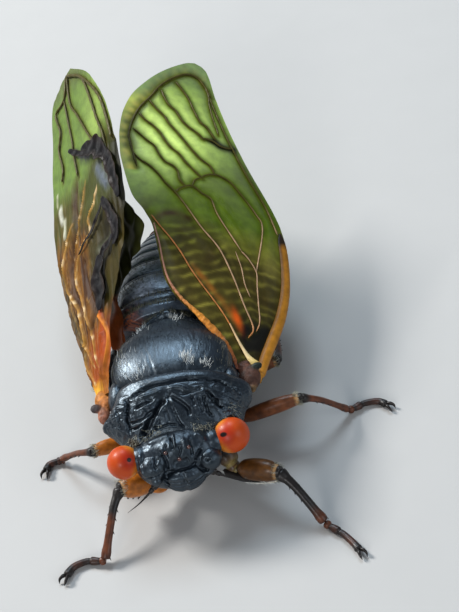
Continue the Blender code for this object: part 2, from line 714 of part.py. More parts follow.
def build_abdomen(parent):
    """Overlapping rings, each flaring a little to its rear edge, and the blunt last one."""
    rings = []
    front = ABDOMEN_STATIONS[0][0]
    for edge in TERGITE_EDGES + (ABDOMEN_STATIONS[-1][0],):
        for share, scale in ((0.0, 1 - TERGITE_STEP), (0.5, 1 - TERGITE_STEP * 0.25), (1.0, 1.0)):
            place = front + (edge - front) * share + (0.04 if share == 0 else 0)
            half_width, top, bottom = along(ABDOMEN_STATIONS, place)
            rings.append(ring(place, half_width * scale, top * scale if top > 0 else top - 0.05 * (1 - share),
                              bottom * scale, 2.2, no_relief))
        front = edge
    form = bmesh.new()
    bridge(form, rings)
    return add_piece("abdomen", form, "cuticle", parent)


for leftover in list(bpy.data.objects):
    bpy.data.objects.remove(leftover)

insect = bpy.data.collections.new("periodical_cicada")
cutters = bpy.data.collections.new("cutters")
bpy.context.scene.collection.children.link(insect)
bpy.context.scene.collection.children.link(cutters)

cicada = bpy.data.objects.new("cicada", None)
cicada.location = [-value * MM for value in ORIGIN]
insect.objects.link(cicada)

neck = bpy.data.objects.new("neck", None)
neck.parent = cicada
neck.location = [value * MM for value in HEAD_PIVOT]
neck.rotation_euler.z = HEAD_YAW
insect.objects.link(neck)

# Body
thorax = body_form("thorax", THORAX_STATIONS, 12, 2.3, no_relief, "cuticle", cicada)
head, head_forms = build_head(neck)
pronotum = body_form("pronotum", PRONOTUM_STATIONS, 18, 2.2, pronotum_relief, "cuticle", cicada,
                     SHIELD_SIDES)
mesonotum = body_form("mesonotum", MESONOTUM_STATIONS, 18, 2.2, mesonotum_relief, "cuticle", cicada)
abdomen = build_abdomen(cicada)
eyes = []
for letter, (centre, radii) in EYES.items():
    eyes.append(ball("eye_" + letter, centre, radii, "eye", neck))

plain_pronotum = spare(pronotum)
cut_clear(thorax, *head_forms)
cut_clear(pronotum, thorax, *head_forms, *eyes)
cut_clear(mesonotum, thorax, plain_pronotum)
cut_clear(head, *eyes)
cut_clear(abdomen, thorax, mesonotum)

tip_form = bmesh.new()
bridge(tip_form, [ring(place, *along(((12.7, 1.55, -0.6, -2.4), (13.3, 1.3, -0.8, -2.3),
                                      (13.9, 0.9, -1.1, -2.2), (14.2, 0.4, -1.4, -2.0)), place),
                       2.0, no_relief, (8, 8)) for place in (13.0, 13.35, 13.7, 14.0, 14.2)])
add_piece("abdomen_tip", tip_form, "cuticle", cicada)

# Beak and feelers
rostrum = limb("rostrum", (0, -2.3, -3.3), (0.3, 0.9, -4.4), lambda share: 0.42 - 0.17 * share,
               "cuticle", neck)
cut_clear(rostrum, thorax, *head_forms)
for side, letter in ((1, "l"), (-1, "r")):
    feeler = limb("antenna_" + letter, (side * 2.0, -2.75, -1.6), (side * 4.1, -3.2, -3.2),
                  lambda share: 0.27 - 0.17 * share, "cuticle", neck)
    cut_clear(feeler, *head_forms)

# Legs
for name, sizes in LEGS.items():
    leg(name, **sizes, body=thorax, parent=cicada)

# Wings
veins = list(FOREWING_VEINS.values()) + [(0.28, 0.2, line) for line in APICAL_VEINS]
forewing_l = wing_plate("forewing_l", LEFT_WING, FOREWING_OUTLINE, veins, 0.0, "membrane", cicada)
hindwing_l = wing_plate("hindwing_l", LEFT_WING, HINDWING_OUTLINE,
                        [(0.3, 0.2, line) for line in HINDWING_VEINS], 1.1, "membrane", cicada)
forewing_r = folded_sheet("forewing_r", RIGHT_WING, CRUMPLED_OUTER, CRUMPLED_INNER, CRUMPLED_ROWS,
                          CRUMPLED_FOLDS, CRUMPLED_HEIGHT, CRUMPLED_THICK, 0.0, "wrinkled", cicada)
hindwing_r = folded_sheet("hindwing_r", RIGHT_WING,
                          HIND_CRUMPLED_OUTER, HIND_CRUMPLED_INNER, HIND_CRUMPLED_ROWS,
                          HIND_CRUMPLED_FOLDS, HIND_CRUMPLED_HEIGHT, CRUMPLED_THICK, HIND_CRUMPLED_DROP,
                          "wrinkled", cicada)
for wing in (forewing_l, hindwing_l, forewing_r, hindwing_r):
    cut_clear(wing, mesonotum, thorax, plain_pronotum, abdomen)
base_l = ball("wing_base_l", *WING_BASE_LEFT, "hinge", cicada, 12, 8)
base_r = ball("wing_base_r", *WING_BASE_RIGHT, "hinge", cicada, 12, 8)
cut_clear(base_l, plain_pronotum, mesonotum, thorax, forewing_l)
cut_clear(base_r, plain_pronotum, mesonotum, thorax, forewing_r)

# Plates over the sound organs under the first rings of the abdomen
for side, letter in ((1, "l"), (-1, "r")):
    cover = ball("operculum_" + letter, (side * 1.95, 1.4, -3.15), (1.5, 1.5, 0.45), "cuticle",
                 cicada, 12, 8)
    cut_clear(cover, thorax, abdomen)

for piece in [plain_pronotum] + head_forms:
    bpy.data.objects.remove(piece)
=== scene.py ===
"""Periodical cicada, life size, as a still museum model: the finish of every surface."""
import math

import bmesh
import bpy
import numpy as np
from mathutils import Matrix, Vector, noise


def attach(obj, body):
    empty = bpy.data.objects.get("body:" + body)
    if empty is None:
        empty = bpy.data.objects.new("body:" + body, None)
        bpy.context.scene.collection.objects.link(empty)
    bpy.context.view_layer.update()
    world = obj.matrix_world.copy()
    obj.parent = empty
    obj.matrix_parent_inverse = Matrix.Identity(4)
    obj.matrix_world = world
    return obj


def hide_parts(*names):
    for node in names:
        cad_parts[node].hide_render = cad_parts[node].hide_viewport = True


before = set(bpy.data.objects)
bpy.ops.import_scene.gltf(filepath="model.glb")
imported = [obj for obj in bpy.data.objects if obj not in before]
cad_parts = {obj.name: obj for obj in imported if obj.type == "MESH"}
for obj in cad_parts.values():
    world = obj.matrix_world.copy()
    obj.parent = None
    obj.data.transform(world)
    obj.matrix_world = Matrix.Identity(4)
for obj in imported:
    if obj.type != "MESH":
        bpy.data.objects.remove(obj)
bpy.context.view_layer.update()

scene = bpy.context.scene

# Display table, lamps and camera
# The insect stands on a pale matt table top under one broad soft lamp over its right shoulder,
# with a weaker fill from its left. The camera looks down on its face from in front.
MM = 0.001
MODEL_ORIGIN = np.array((2.0, 2.8, -5.6))
TABLE_HALF = 0.6
TABLE_COLOUR = (0.47, 0.465, 0.455)
# Each lamp: its name, its place in metres, its size, its power and its colour
LAMPS = (
    ("key", (-0.30, 0.19, 0.29), 0.11, 2.7, (1.0, 0.98, 0.95)),
    ("back", (-0.02, 0.30, 0.42), 0.18, 1.3, (0.72, 0.87, 1.0)),
    ("fill", (0.32, -0.22, 0.22), 0.24, 0.5, (0.86, 0.93, 1.0)),
    ("front", (-0.16, -0.36, 0.2), 0.12, 0.55, (1.0, 1.0, 1.0)),
)
ROOM_COLOUR = (0.78, 0.88, 1.0, 1)
ROOM_STRENGTH = 0.17
CAMERA_TURN = math.radians(2.38)
CAMERA_RISE = math.radians(44.08)
CAMERA_ROLL = math.radians(-10.12)
CAMERA_AIM = (4.42, 4.09, -1.60)
CAMERA_DISTANCE = 106.69
CAMERA_LENS = 82.57
CAMERA_SENSOR = 36
CAMERA_NEAR = 0.005


def to_model(points):
    """Millimetres in the insect's own frame, turned into metres in the model's frame."""
    return (np.asarray(points, float) - MODEL_ORIGIN) * MM


def wire(tree, kind, sockets, **settings):
    """A shader node with its sockets set to values or wired from other nodes' sockets."""
    made = tree.nodes.new("ShaderNode" + kind)
    for name, value in settings.items():
        setattr(made, name, value)
    for name, value in sockets.items():
        if isinstance(value, bpy.types.NodeSocket):
            tree.links.new(value, made.inputs[name])
        else:
            made.inputs[name].default_value = value
    return made


def new_finish(name):
    """A fresh material with its node tree, its main shader and the object's own coordinates."""
    material = bpy.data.materials.new(name)
    material.use_nodes = True
    tree = material.node_tree
    place = wire(tree, "TexCoord", {}).outputs["Object"]
    return material, tree, tree.nodes["Principled BSDF"], place


def set_sockets(shader, **values):
    """Fixed values for a shader's own sockets, named with _ in the place of each space."""
    for name, value in values.items():
        shader.inputs[name.replace("_", " ")].default_value = value


def cloudy(tree, place, scale, detail=2.0, rough=0.5):
    """A cloud of noise over the places."""
    return wire(tree, "TexNoise", {"Vector": place, "Scale": scale, "Detail": detail,
                                   "Roughness": rough}).outputs["Fac"]


table_form = bmesh.new()
bmesh.ops.create_grid(table_form, x_segments=1, y_segments=1, size=TABLE_HALF)
table_mesh = bpy.data.meshes.new("table")
table_form.to_mesh(table_mesh)
table_form.free()
table = bpy.data.objects.new("table", table_mesh)
scene.collection.objects.link(table)
table_finish, table_tree, table_shader, table_place = new_finish("table_matt")
table_tone = wire(table_tree, "MixRGB", {"Fac": cloudy(table_tree, table_place, 300.0, 4.0),
                                        "Color1": (*TABLE_COLOUR, 1),
                                        "Color2": (*[tone * 0.96 for tone in TABLE_COLOUR], 1)})
table_tree.links.new(table_tone.outputs[0], table_shader.inputs["Base Color"])
set_sockets(table_shader, Roughness=0.75)
table_mesh.materials.append(table_finish)

for name, place, size, power, colour in LAMPS:
    light = bpy.data.lights.new(name, "AREA")
    light.size = size
    light.energy = power
    light.color = colour
    lamp = bpy.data.objects.new(name, light)
    lamp.location = place
    lamp.rotation_euler = (-Vector(place)).to_track_quat("-Z", "Y").to_euler()
    scene.collection.objects.link(lamp)
world = bpy.data.worlds.new("room")
world.use_nodes = True
set_sockets(world.node_tree.nodes["Background"], Color=ROOM_COLOUR, Strength=ROOM_STRENGTH)
scene.world = world
scene.view_settings.view_transform = "Standard"

camera_back = Vector((math.sin(CAMERA_TURN) * math.cos(CAMERA_RISE),
                      -math.cos(CAMERA_TURN) * math.cos(CAMERA_RISE), math.sin(CAMERA_RISE)))
camera_right = Vector((math.cos(CAMERA_TURN), math.sin(CAMERA_TURN), 0))
camera_up = camera_back.cross(camera_right)
camera_axes = Matrix((camera_right, camera_up, camera_back)).transposed()
camera_turned = camera_axes @ Matrix.Rotation(CAMERA_ROLL, 3, "Z")
camera_spot = Vector(to_model(CAMERA_AIM)) + camera_back * CAMERA_DISTANCE * MM
camera_data = bpy.data.cameras.new("camera")
camera_data.sensor_fit = "VERTICAL"
camera_data.sensor_height = CAMERA_SENSOR
camera_data.lens = CAMERA_LENS
camera_data.clip_start = CAMERA_NEAR
camera = bpy.data.objects.new("camera", camera_data)
camera.matrix_world = Matrix.Translation(camera_spot) @ camera_turned.to_4x4()
scene.collection.objects.link(camera)
scene.camera = camera

# Head
# A hard black capsule, short and wide: a crown with a brow lobe over each feeler, a bulging
# ribbed face between them, and a stalk that carries each eye. It is turned a little to its left.
HEAD_PIVOT = np.array((-0.36, -9.5, 0.2))
HEAD_YAW = math.radians(8.0)
HEAD_STATIONS = (
    (-0.25, 2.75, 0.75, -2.1), (-0.7, 3.0, 1.02, -2.3), (-1.4, 3.0, 1.08, -2.5), (-2.0, 2.7, 0.86, -2.6),
    (-2.4, 2.2, 0.45, -2.6), (-2.7, 1.5, 0.0, -2.4), (-2.85, 0.9, -0.4, -2.0),
)
HEAD_LOBES = (
    ((0.15, -2.5, -1.25), (1.5, 0.95, 1.3)),
    ((2.0, -2.25, -0.62), (0.85, 0.85, 0.82)),
    ((-1.8, -2.05, -0.35), (0.98, 0.9, 0.9)),
    ((1.75, -2.72, -1.05), (0.42, 0.42, 0.4)),
    ((-1.85, -2.68, -0.98), (0.42, 0.42, 0.4)),
    ((0.05, -2.95, -0.82), (1.15, 0.45, 0.38)),
    ((2.55, -1.15, -0.2), (0.85, 0.9, 0.85)),
    ((-2.5, -1.15, -0.2), (0.85, 0.9, 0.85)),
)
HEAD_MIDDLE = (-0.36, -11.2, 0.3)
# Each stroke on a plate: how high it stands, how wide it is and its line as the camera sees it
HEAD_CREASES = (
    (-0.30, 0.13, ((-0.89, -1.42), (-0.60, -1.22), (-0.01, -1.14), (0.72, -1.07), (1.25, -0.94),
                   (1.44, -0.90))),
    (-0.26, 0.10, ((-0.89, -1.42), (-0.84, -1.79), (-0.75, -2.09))),
    (-0.22, 0.08, ((-2.49, -1.35), (-1.92, -1.34), (-1.33, -1.27), (-0.93, -1.05))),
    (-0.30, 0.13, ((-0.64, -1.03), (-0.62, -0.53), (-0.75, -0.07), (-0.88, 0.24))),
    (-0.26, 0.10, ((1.37, -0.67), (1.62, -0.28), (1.86, 0.04))),
    (-0.26, 0.08, ((-0.01, 1.09), (-0.03, 0.73), (-0.03, 0.37))),
    (0.16, 0.06, ((0.12, 1.28), (0.15, 0.85), (0.17, 0.34))),
    (-0.26, 0.30, ((-0.20, -0.61), (0.66, -0.62), (0.97, -0.53))),
    (-0.20, 0.10, ((1.20, 0.80), (1.26, 0.50), (1.26, 0.14), (1.23, -0.28))),
    (0.10, 0.14, ((-1.66, 0.88), (-1.19, 1.08), (-0.60, 1.19), (-0.16, 1.26))),
    (-0.22, 0.10, ((1.48, -1.05), (1.81, -1.47), (2.15, -1.56))),
    (0.12, 0.07, ((-1.40, -0.02), (-1.80, -0.32))),
    (-0.16, 0.12, ((-1.15, -0.05), (-1.35, -0.45), (-1.25, -0.80))),
    (0.12, 0.07, ((-0.72, 0.50), (-0.74, -0.01))),
    (0.10, 0.08, ((-2.26, 0.34), (-2.34, -0.37), (-2.24, -1.04))),
    (-0.10, 0.10, ((0.30, -1.25), (0.42, -1.75), (0.52, -2.25))),
    (-0.14, 0.07, ((2.05, -0.72), (2.22, -0.82), (2.36, -0.72))),
    (-0.14, 0.08, ((0.45, 0.55), (0.50, 0.15), (0.30, -0.20))),
    (-0.14, 0.08, ((-0.40, 0.75), (-0.52, 0.30), (-0.45, -0.20))),
    (0.10, 0.12, ((0.75, 0.95), (0.82, 0.55), (0.75, 0.20))),
    (0.12, 0.16, ((1.55, 1.05), (1.95, 0.85), (2.15, 0.45))),
)
FACE_LEAN = math.radians(-12.0)
FACE_RIBS = 0.34
HEAD_VOXEL = 0.045
CUTICLE_DARK = (0.0028, 0.0034, 0.0050)
CUTICLE_LIGHT = (0.0085, 0.0115, 0.0170)
SKY_GLINT = (0.66, 0.84, 1.0, 1)


def along(stations, place):
    """Values at a place on smooth curves through the stations, whose first value is the place."""
    last = len(stations) - 1
    index = 0
    while index < last - 1 and (place - stations[index + 1][0]) * (stations[-1][0] - stations[0][0]) > 0:
        index += 1
    before = stations[max(index - 1, 0)]
    start = stations[index]
    end = stations[index + 1]
    after = stations[min(index + 2, last)]
    span = end[0] - start[0]
    share = (place - start[0]) / span
    values = []
    for a, b, c, d in zip(before[1:], start[1:], end[1:], after[1:]):
        rise_in = (c - a) / (end[0] - before[0]) * span
        rise_out = (d - b) / (after[0] - start[0]) * span
        values.append((2 * share ** 3 - 3 * share ** 2 + 1) * b
                      + (share ** 3 - 2 * share ** 2 + share) * rise_in
                      + (3 * share ** 2 - 2 * share ** 3) * c + (share ** 3 - share ** 2) * rise_out)
    return values


def bell(distance, width):
    """A smooth hump of height 1 that fades over the given width."""
    return np.exp(-(distance / width) ** 2)


def grain(points, size, seed=0):
    """Smooth random bumps between about -1 and 1, of a size in millimetres, the same each run."""
    shift = Vector((seed * 17.3, seed * 5.1, seed * 9.7))
    return np.array([noise.noise(Vector(point) + shift) for point in np.asarray(points) / size])


def curve_through(points, count):
    """Evenly counted points on a smooth curve through the given ones."""
    points = np.asarray(points, float)
    ends = np.concatenate([[2 * points[0] - points[1]], points, [2 * points[-1] - points[-2]]])
    place = np.linspace(0, len(points) - 1, count)
    index = np.minimum(place.astype(int), len(points) - 2)
    u = (place - index)[:, None]
    a, b, c, d = (ends[index + shift] for shift in range(4))
    return 0.5 * (2 * b + (c - a) * u + (2 * a - 5 * b + 4 * c - d) * u ** 2
                  + (3 * b - a - 3 * c + d) * u ** 3)


def line_distance(s, t, line):
    """How far each (s, t) place lies from a line, and how far along the line the nearest place is."""
    fine = curve_through(line, 8 * len(line))
    place = np.stack([s, t], -1).reshape(-1, 1, 2)
    start = fine[None, :-1]
    step = fine[None, 1:] - start
    share = np.clip(((place - start) * step).sum(-1) / (step ** 2).sum(-1), 0, 1)
    away = np.linalg.norm(place - start - share[..., None] * step, axis=-1)
    best = away.argmin(1)
    along_line = (best + share[np.arange(len(best)), best]) / (len(fine) - 1)
    return away.min(1).reshape(np.shape(s)), along_line.reshape(np.shape(s))


def carve(mesh, middle, strokes, to_body=None):
    """Press grooves and raise folds along lines that are drawn as the plate is seen from the camera."""
    points = mesh_points(mesh)
    normals = mesh_points(mesh, "normal")
    if to_body is not None:
        normals = to_body(normals) - to_body(np.zeros((1, 3)))
        points = to_body(points)
    aside = (points - middle) @ np.array(camera_right)
    above = (points - middle) @ np.array(camera_up)
    facing = np.clip((normals @ np.array(camera_back) - 0.05) / 0.3, 0, 1)
    heights = np.zeros(len(points))
    for height, width, line in strokes:
        low = np.min(line, axis=0) - 3 * width
        high = np.max(line, axis=0) + 3 * width
        near = (aside > low[0]) & (aside < high[0]) & (above > low[1]) & (above < high[1])
        near &= facing > 0
        away, place = line_distance(aside[near], above[near], line)
        ends = np.clip(np.minimum(place, 1 - place) * 8 + 0.25, 0, 1)
        heights[near] += height * bell(away, width) * ends * facing[near]
    raise_skin(mesh, heights)


def sections(stations, rings, sides, power, relief):
    """Points on a body form: rings of points over its length, with the relief worked in."""
    turns = np.linspace(0, 2 * np.pi, sides, endpoint=False)
    cosine = np.cos(turns)
    sine = np.sin(turns)
    grid = []
    for place in np.linspace(stations[0][0], stations[-1][0], rings):
        half_width, top, bottom = along(stations, place)
        middle = bottom + (top - bottom) * 0.45
        height = np.where(sine > 0, top - middle, middle - bottom)
        x = half_width * np.sign(cosine) * np.abs(cosine) ** (2 / power)
        z = height * np.sign(sine) * np.abs(sine) ** (2 / power)
        stretch = 1 + relief(x, place, sine) / np.hypot(x, z)
        grid.append(np.stack([x * stretch, np.full(sides, place), middle + z * stretch], 1))
    return np.array(grid)


def skin_mesh(name, *grids):
    """A closed mesh over rings of points, with a fan over each end; one body for each grid."""
    points = []
    faces = []
    count = 0
    for grid in grids:
        rings, sides, _ = grid.shape
        points.append(np.concatenate([grid.reshape(-1, 3), [grid[0].mean(0)], [grid[-1].mean(0)]]))
        ring, side = np.meshgrid(np.arange(rings - 1), np.arange(sides), indexing="ij")
        after = (side + 1) % sides
        quads = np.stack([ring * sides + side, ring * sides + after,
                          (ring + 1) * sides + after, (ring + 1) * sides + side], -1).reshape(-1, 4)
        faces += (quads + count).tolist()
        last = count + (rings - 1) * sides
        hub = count + rings * sides
        faces += [[hub, count + (s + 1) % sides, count + s] for s in range(sides)]
        faces += [[hub + 1, last + s, last + (s + 1) % sides] for s in range(sides)]
        count = hub + 2
    mesh = bpy.data.meshes.new(name)
    mesh.from_pydata(np.concatenate(points).tolist(), [], faces)
    form = bmesh.new()
    form.from_mesh(mesh)
    bmesh.ops.recalc_face_normals(form, faces=form.faces)
    form.to_mesh(mesh)
    form.free()
    return mesh


def mesh_points(mesh, kind="co"):
    """The mesh's points, or with kind "normal" its outward directions, as an array."""
    values = np.empty(len(mesh.vertices) * 3)
    mesh.vertices.foreach_get(kind, values)
    return values.reshape(-1, 3)


def raise_skin(mesh, heights):
    """Move each point of a mesh outwards by its height."""
    points = mesh_points(mesh) + mesh_points(mesh, "normal") * np.asarray(heights)[:, None]
    mesh.vertices.foreach_set("co", points.ravel())
    mesh.update()


def head_to_body(points):
    """The head's own millimetres, turned and set on the neck."""
    turn = np.array(Matrix.Rotation(HEAD_YAW, 3, "Z"))
    return np.asarray(points) @ turn.T + HEAD_PIVOT


def put_piece(mesh, material, nodes=(), to_body=None):
    """Show a mesh of millimetres as a smooth piece that stands for the given nodes."""
    points = mesh_points(mesh)
    if to_body is not None:
        points = to_body(points)
    mesh.vertices.foreach_set("co", to_model(points).ravel())
    mesh.materials.append(material)
    mesh.shade_smooth()
    mesh.update()
    piece = bpy.data.objects.new(mesh.name, mesh)
    scene.collection.objects.link(piece)
    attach(piece, "root")
    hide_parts(*nodes)


def egg_mesh(name, centre, radii, lean=0.0, turns=64, rows=40):
    """An egg-shaped mesh, leaning by an angle about the X axis."""
    form = bmesh.new()
    bmesh.ops.create_uvsphere(form, u_segments=turns, v_segments=rows, radius=1.0)
    bmesh.ops.scale(form, vec=radii, verts=form.verts)
    bmesh.ops.rotate(form, matrix=Matrix.Rotation(lean, 3, "X"), verts=form.verts)
    bmesh.ops.translate(form, vec=centre, verts=form.verts)
    mesh = bpy.data.meshes.new(name)
    form.to_mesh(mesh)
    form.free()
    return mesh


def join_meshes(name, meshes):
    """Several meshes in one."""
    form = bmesh.new()
    for mesh in meshes:
        form.from_mesh(mesh)
    joined = bpy.data.meshes.new(name)
    form.to_mesh(joined)
    form.free()
    return joined


def grow_together(name, meshes, voxel, smoothing):
    """One skin round several closed meshes that pass into each other, with soft creases."""
    joined = join_meshes(name, meshes)
    holder = bpy.data.objects.new(name, joined)
    scene.collection.objects.link(holder)
    remesh = holder.modifiers.new("skin", "REMESH")
    remesh.mode = "VOXEL"
    remesh.voxel_size = voxel
    smooth = holder.modifiers.new("soften", "SMOOTH")
    smooth.factor = 0.5
    smooth.iterations = smoothing
    bpy.context.view_layer.update()
    grown = holder.evaluated_get(bpy.context.evaluated_depsgraph_get())
    mesh = bpy.data.meshes.new_from_object(grown)
    bpy.data.objects.remove(holder)
    bpy.data.meshes.remove(joined)
    mesh.name = name
    return mesh


def colour_ramp(tree, factor, *stops):
    """Colours along a factor, from (place, colour) stops."""
    made = wire(tree, "ValToRGB", {"Fac": factor})
    ramp = made.color_ramp
    while len(ramp.elements) < len(stops):
        ramp.elements.new(0.5)
    for element, (place, colour) in zip(ramp.elements, stops):
        element.position = place
        element.color = (*colour, 1)
    return made.outputs["Color"]


def stretched(tree, factor, low, high, start=0.3, end=0.7):
    """A factor's range from start to end, stretched to run from low to high."""
    return wire(tree, "MapRange", {"Value": factor, "From Min": start, "From Max": end,
                                   "To Min": low, "To Max": high}).outputs["Result"]


def add_relief(tree, shader, height, strength, depth):
    """Fine relief that the light shows on a surface."""
    bump = wire(tree, "Bump", {"Height": height, "Strength": strength, "Distance": depth})
    tree.links.new(bump.outputs["Normal"], shader.inputs["Normal"])


def cuticle_finish(name, rough, stretch=(1, 1, 1), fine=7000.0, depth=0.00002):
    """Hard insect skin: a near black ground with a faint blue dust, fine pits and a satin gloss."""
    material, tree, shader, place = new_finish(name)
    fine_place = wire(tree, "Mapping", {"Vector": place, "Scale": [fine * s for s in stretch]}).outputs[0]
    pits = cloudy(tree, fine_place, 1.0, 5.0, 0.65)
    tone = colour_ramp(tree, cloudy(tree, place, 700.0, 4.0, 0.6), (0.35, CUTICLE_DARK), (0.68, CUTICLE_LIGHT))
    tree.links.new(tone, shader.inputs["Base Color"])
    tree.links.new(stretched(tree, pits, *rough), shader.inputs["Roughness"])
    height = wire(tree, "Math", {0: pits, 1: cloudy(tree, fine_place, 0.3, 3.0)}, operation="ADD")
    add_relief(tree, shader, height.outputs[0], 1.0, depth)
    set_sockets(shader, Specular_IOR_Level=0.8, Specular_Tint=SKY_GLINT)
    return material


def crown_relief(x, y, up):
    """The swelling that carries the ocelli, and a dip on each side of it."""
    crown = 0.16 * bell(x, 0.85) * bell(y + 2.1, 0.6)
    dip = 0.14 * bell(np.abs(x) - 1.5, 0.4) * bell(y + 1.7, 0.7)
    return (crown - dip) * np.maximum(up, 0)


head_parts = [skin_mesh("crown", sections(HEAD_STATIONS, 90, 140, 2.3, crown_relief))]
for index, (centre, radii) in enumerate(HEAD_LOBES):
    head_parts.append(egg_mesh("lobe", centre, radii, FACE_LEAN if index == 0 else 0.0))
head_mesh = grow_together("head_shell", head_parts, HEAD_VOXEL, 2)
head_points = mesh_points(head_mesh)
face_middle, face_radii = (np.array(values) for values in HEAD_LOBES[0])
down_face = (head_points - face_middle) @ np.array((0, math.sin(FACE_LEAN), math.cos(FACE_LEAN)))
face_reach = np.linalg.norm((head_points - face_middle) / face_radii, axis=1)
on_face = np.clip(1.15 - face_reach, 0, 0.12) / 0.12
on_face *= np.clip((-head_points[:, 1] - 2.5) / 0.3, 0, 1) * np.clip((-0.9 - head_points[:, 2]) / 0.2, 0, 1)
ribs = np.cos(2 * np.pi * down_face / FACE_RIBS + 0.8 * np.abs(head_points[:, 0]))
face_groove = bell(head_points[:, 0], 0.16)
head_relief = 0.04 * on_face * ribs * (1 - face_groove) - 0.07 * on_face * face_groove
head_relief += 0.03 * grain(head_points, 0.55, 1) + 0.006 * grain(head_points, 0.16, 2)
head_relief -= 0.05 * np.clip(grain(head_points, 0.28, 3) - 0.25, 0, 1)
raise_skin(head_mesh, head_relief)
carve(head_mesh, HEAD_MIDDLE, HEAD_CREASES, head_to_body)
head_finish = cuticle_finish("cuticle_head", (0.27, 0.46), depth=0.000012)
put_piece(head_mesh, head_finish, ("head",), head_to_body)

# Eyes
# Two domed compound eyes, orange-red with a soft gloss on thousands of tiny lenses, paler at the rim.
# Each sits in a collar of the head, and on each a dark spot is painted at a fixed place, where the one that
# follows a viewer shows.
# Each eye: its side, middle, radii, the way its dark spot faces and how round that spot is
EYES = {
    "l": (1, (3.83, -1.1, -0.2), (1.27, 1.2, 1.24), (-0.50, -0.50, 0.80), 0.55),
    "r": (-1, (-3.68, -1.1, -0.2), (1.14, 1.12, 1.18), (0.36, -0.54, 0.74), 0.9),
}
EYE_RED = (0.36, 0.016, 0.004)
EYE_ORANGE = (0.47, 0.058, 0.006)
EYE_RIM = (0.60, 0.19, 0.02)
EYE_SPOT = (0.006, 0.001, 0.001)


def eye_finish(name, centre, outward, spot, squeeze):
    """The lens field: red in the middle, orange towards the rim, with one small dark spot."""
    material, tree, shader, place = new_finish(name)
    middle = Vector(to_model(centre))
    away = wire(tree, "VectorMath", {0: place, 1: middle}, operation="SUBTRACT").outputs[0]
    aim = wire(tree, "VectorMath", {0: away}, operation="NORMALIZE").outputs[0]
    facing = wire(tree, "VectorMath", {0: aim, 1: outward}, operation="DOT_PRODUCT").outputs["Value"]
    blotch = wire(tree, "Math", {0: cloudy(tree, place, 1300.0, 3.0), 1: 0.45}, operation="MULTIPLY")
    mixed = wire(tree, "Math", {0: facing, 1: blotch.outputs[0]}, operation="ADD").outputs[0]
    tone = colour_ramp(tree, mixed, (0.1, EYE_RIM), (0.45, EYE_ORANGE), (1.0, EYE_ORANGE))
    to_spot = wire(tree, "VectorMath", {0: aim, 1: spot}, operation="DOT_PRODUCT").outputs["Value"]
    warmed = wire(tree, "MixRGB", {"Fac": stretched(tree, to_spot, 0.0, 0.9, 0.7, 0.97), "Color1": tone,
                                   "Color2": (*EYE_RED, 1)})
    offset = wire(tree, "VectorMath", {0: aim, 1: spot}, operation="SUBTRACT").outputs[0]
    squeezed = wire(tree, "VectorMath", {0: offset, 1: (squeeze, 1.0, 1.0)}, operation="MULTIPLY").outputs[0]
    far = wire(tree, "VectorMath", {0: squeezed}, operation="LENGTH").outputs["Value"]
    painted = wire(tree, "MixRGB", {"Fac": stretched(tree, far, 0.0, 1.0, 0.15, 0.11),
                                    "Color1": warmed.outputs[0], "Color2": (*EYE_SPOT, 1)})
    tree.links.new(painted.outputs[0], shader.inputs["Base Color"])
    lenses = wire(tree, "TexVoronoi", {"Vector": place, "Scale": 24000.0}, feature="DISTANCE_TO_EDGE")
    add_relief(tree, shader, lenses.outputs["Distance"], 0.12, 0.00002)
    set_sockets(shader, Roughness=0.42, Specular_IOR_Level=0.24, Coat_Weight=0.06, Coat_Roughness=0.15,
                Subsurface_Weight=0.15, Subsurface_Radius=(0.0006, 0.0002, 0.0001), Subsurface_Scale=1.0)
    return material


turned = Matrix.Rotation(HEAD_YAW, 3, "Z")
for letter, (side, centre, radii, spot, squeeze) in EYES.items():
    outward = Vector((side * 0.80, -0.42, 0.42)).normalized()
    eye_mesh = egg_mesh("eye_lens_" + letter, centre, radii, 0.0, 96, 64)
    eye_paint = eye_finish("eye_" + letter + "_lens", head_to_body([centre])[0], turned @ outward,
                           (turned @ Vector(spot)).normalized(), squeeze)
    put_piece(eye_mesh, eye_paint, ("eye_" + letter,), head_to_body)

# Ocelli
# Three clear red beads of hard, glassy skin on the crown, simple eyes that see light and dark.
# Each is set into the head's black shell.
OCELLI = ((0.8, -2.1, 0.84), (-0.8, -2.1, 0.84), (0.0, -2.62, 0.47))
OCELLUS_RADIUS = 0.13
ocellus_finish, ocellus_tree, ocellus_shader, ocellus_place = new_finish("ocellus")
ocellus_tone = colour_ramp(ocellus_tree, cloudy(ocellus_tree, ocellus_place, 4000.0),
                           (0.3, (0.03, 0.006, 0.004)), (0.7, (0.10, 0.022, 0.01)))
ocellus_tree.links.new(ocellus_tone, ocellus_shader.inputs["Base Color"])
set_sockets(ocellus_shader, Roughness=0.12, Coat_Weight=1.0)
beads = [egg_mesh("bead", centre, (OCELLUS_RADIUS,) * 3, 0.0, 24, 16) for centre in OCELLI]
put_piece(join_meshes("ocelli", beads), ocellus_finish, (), head_to_body)

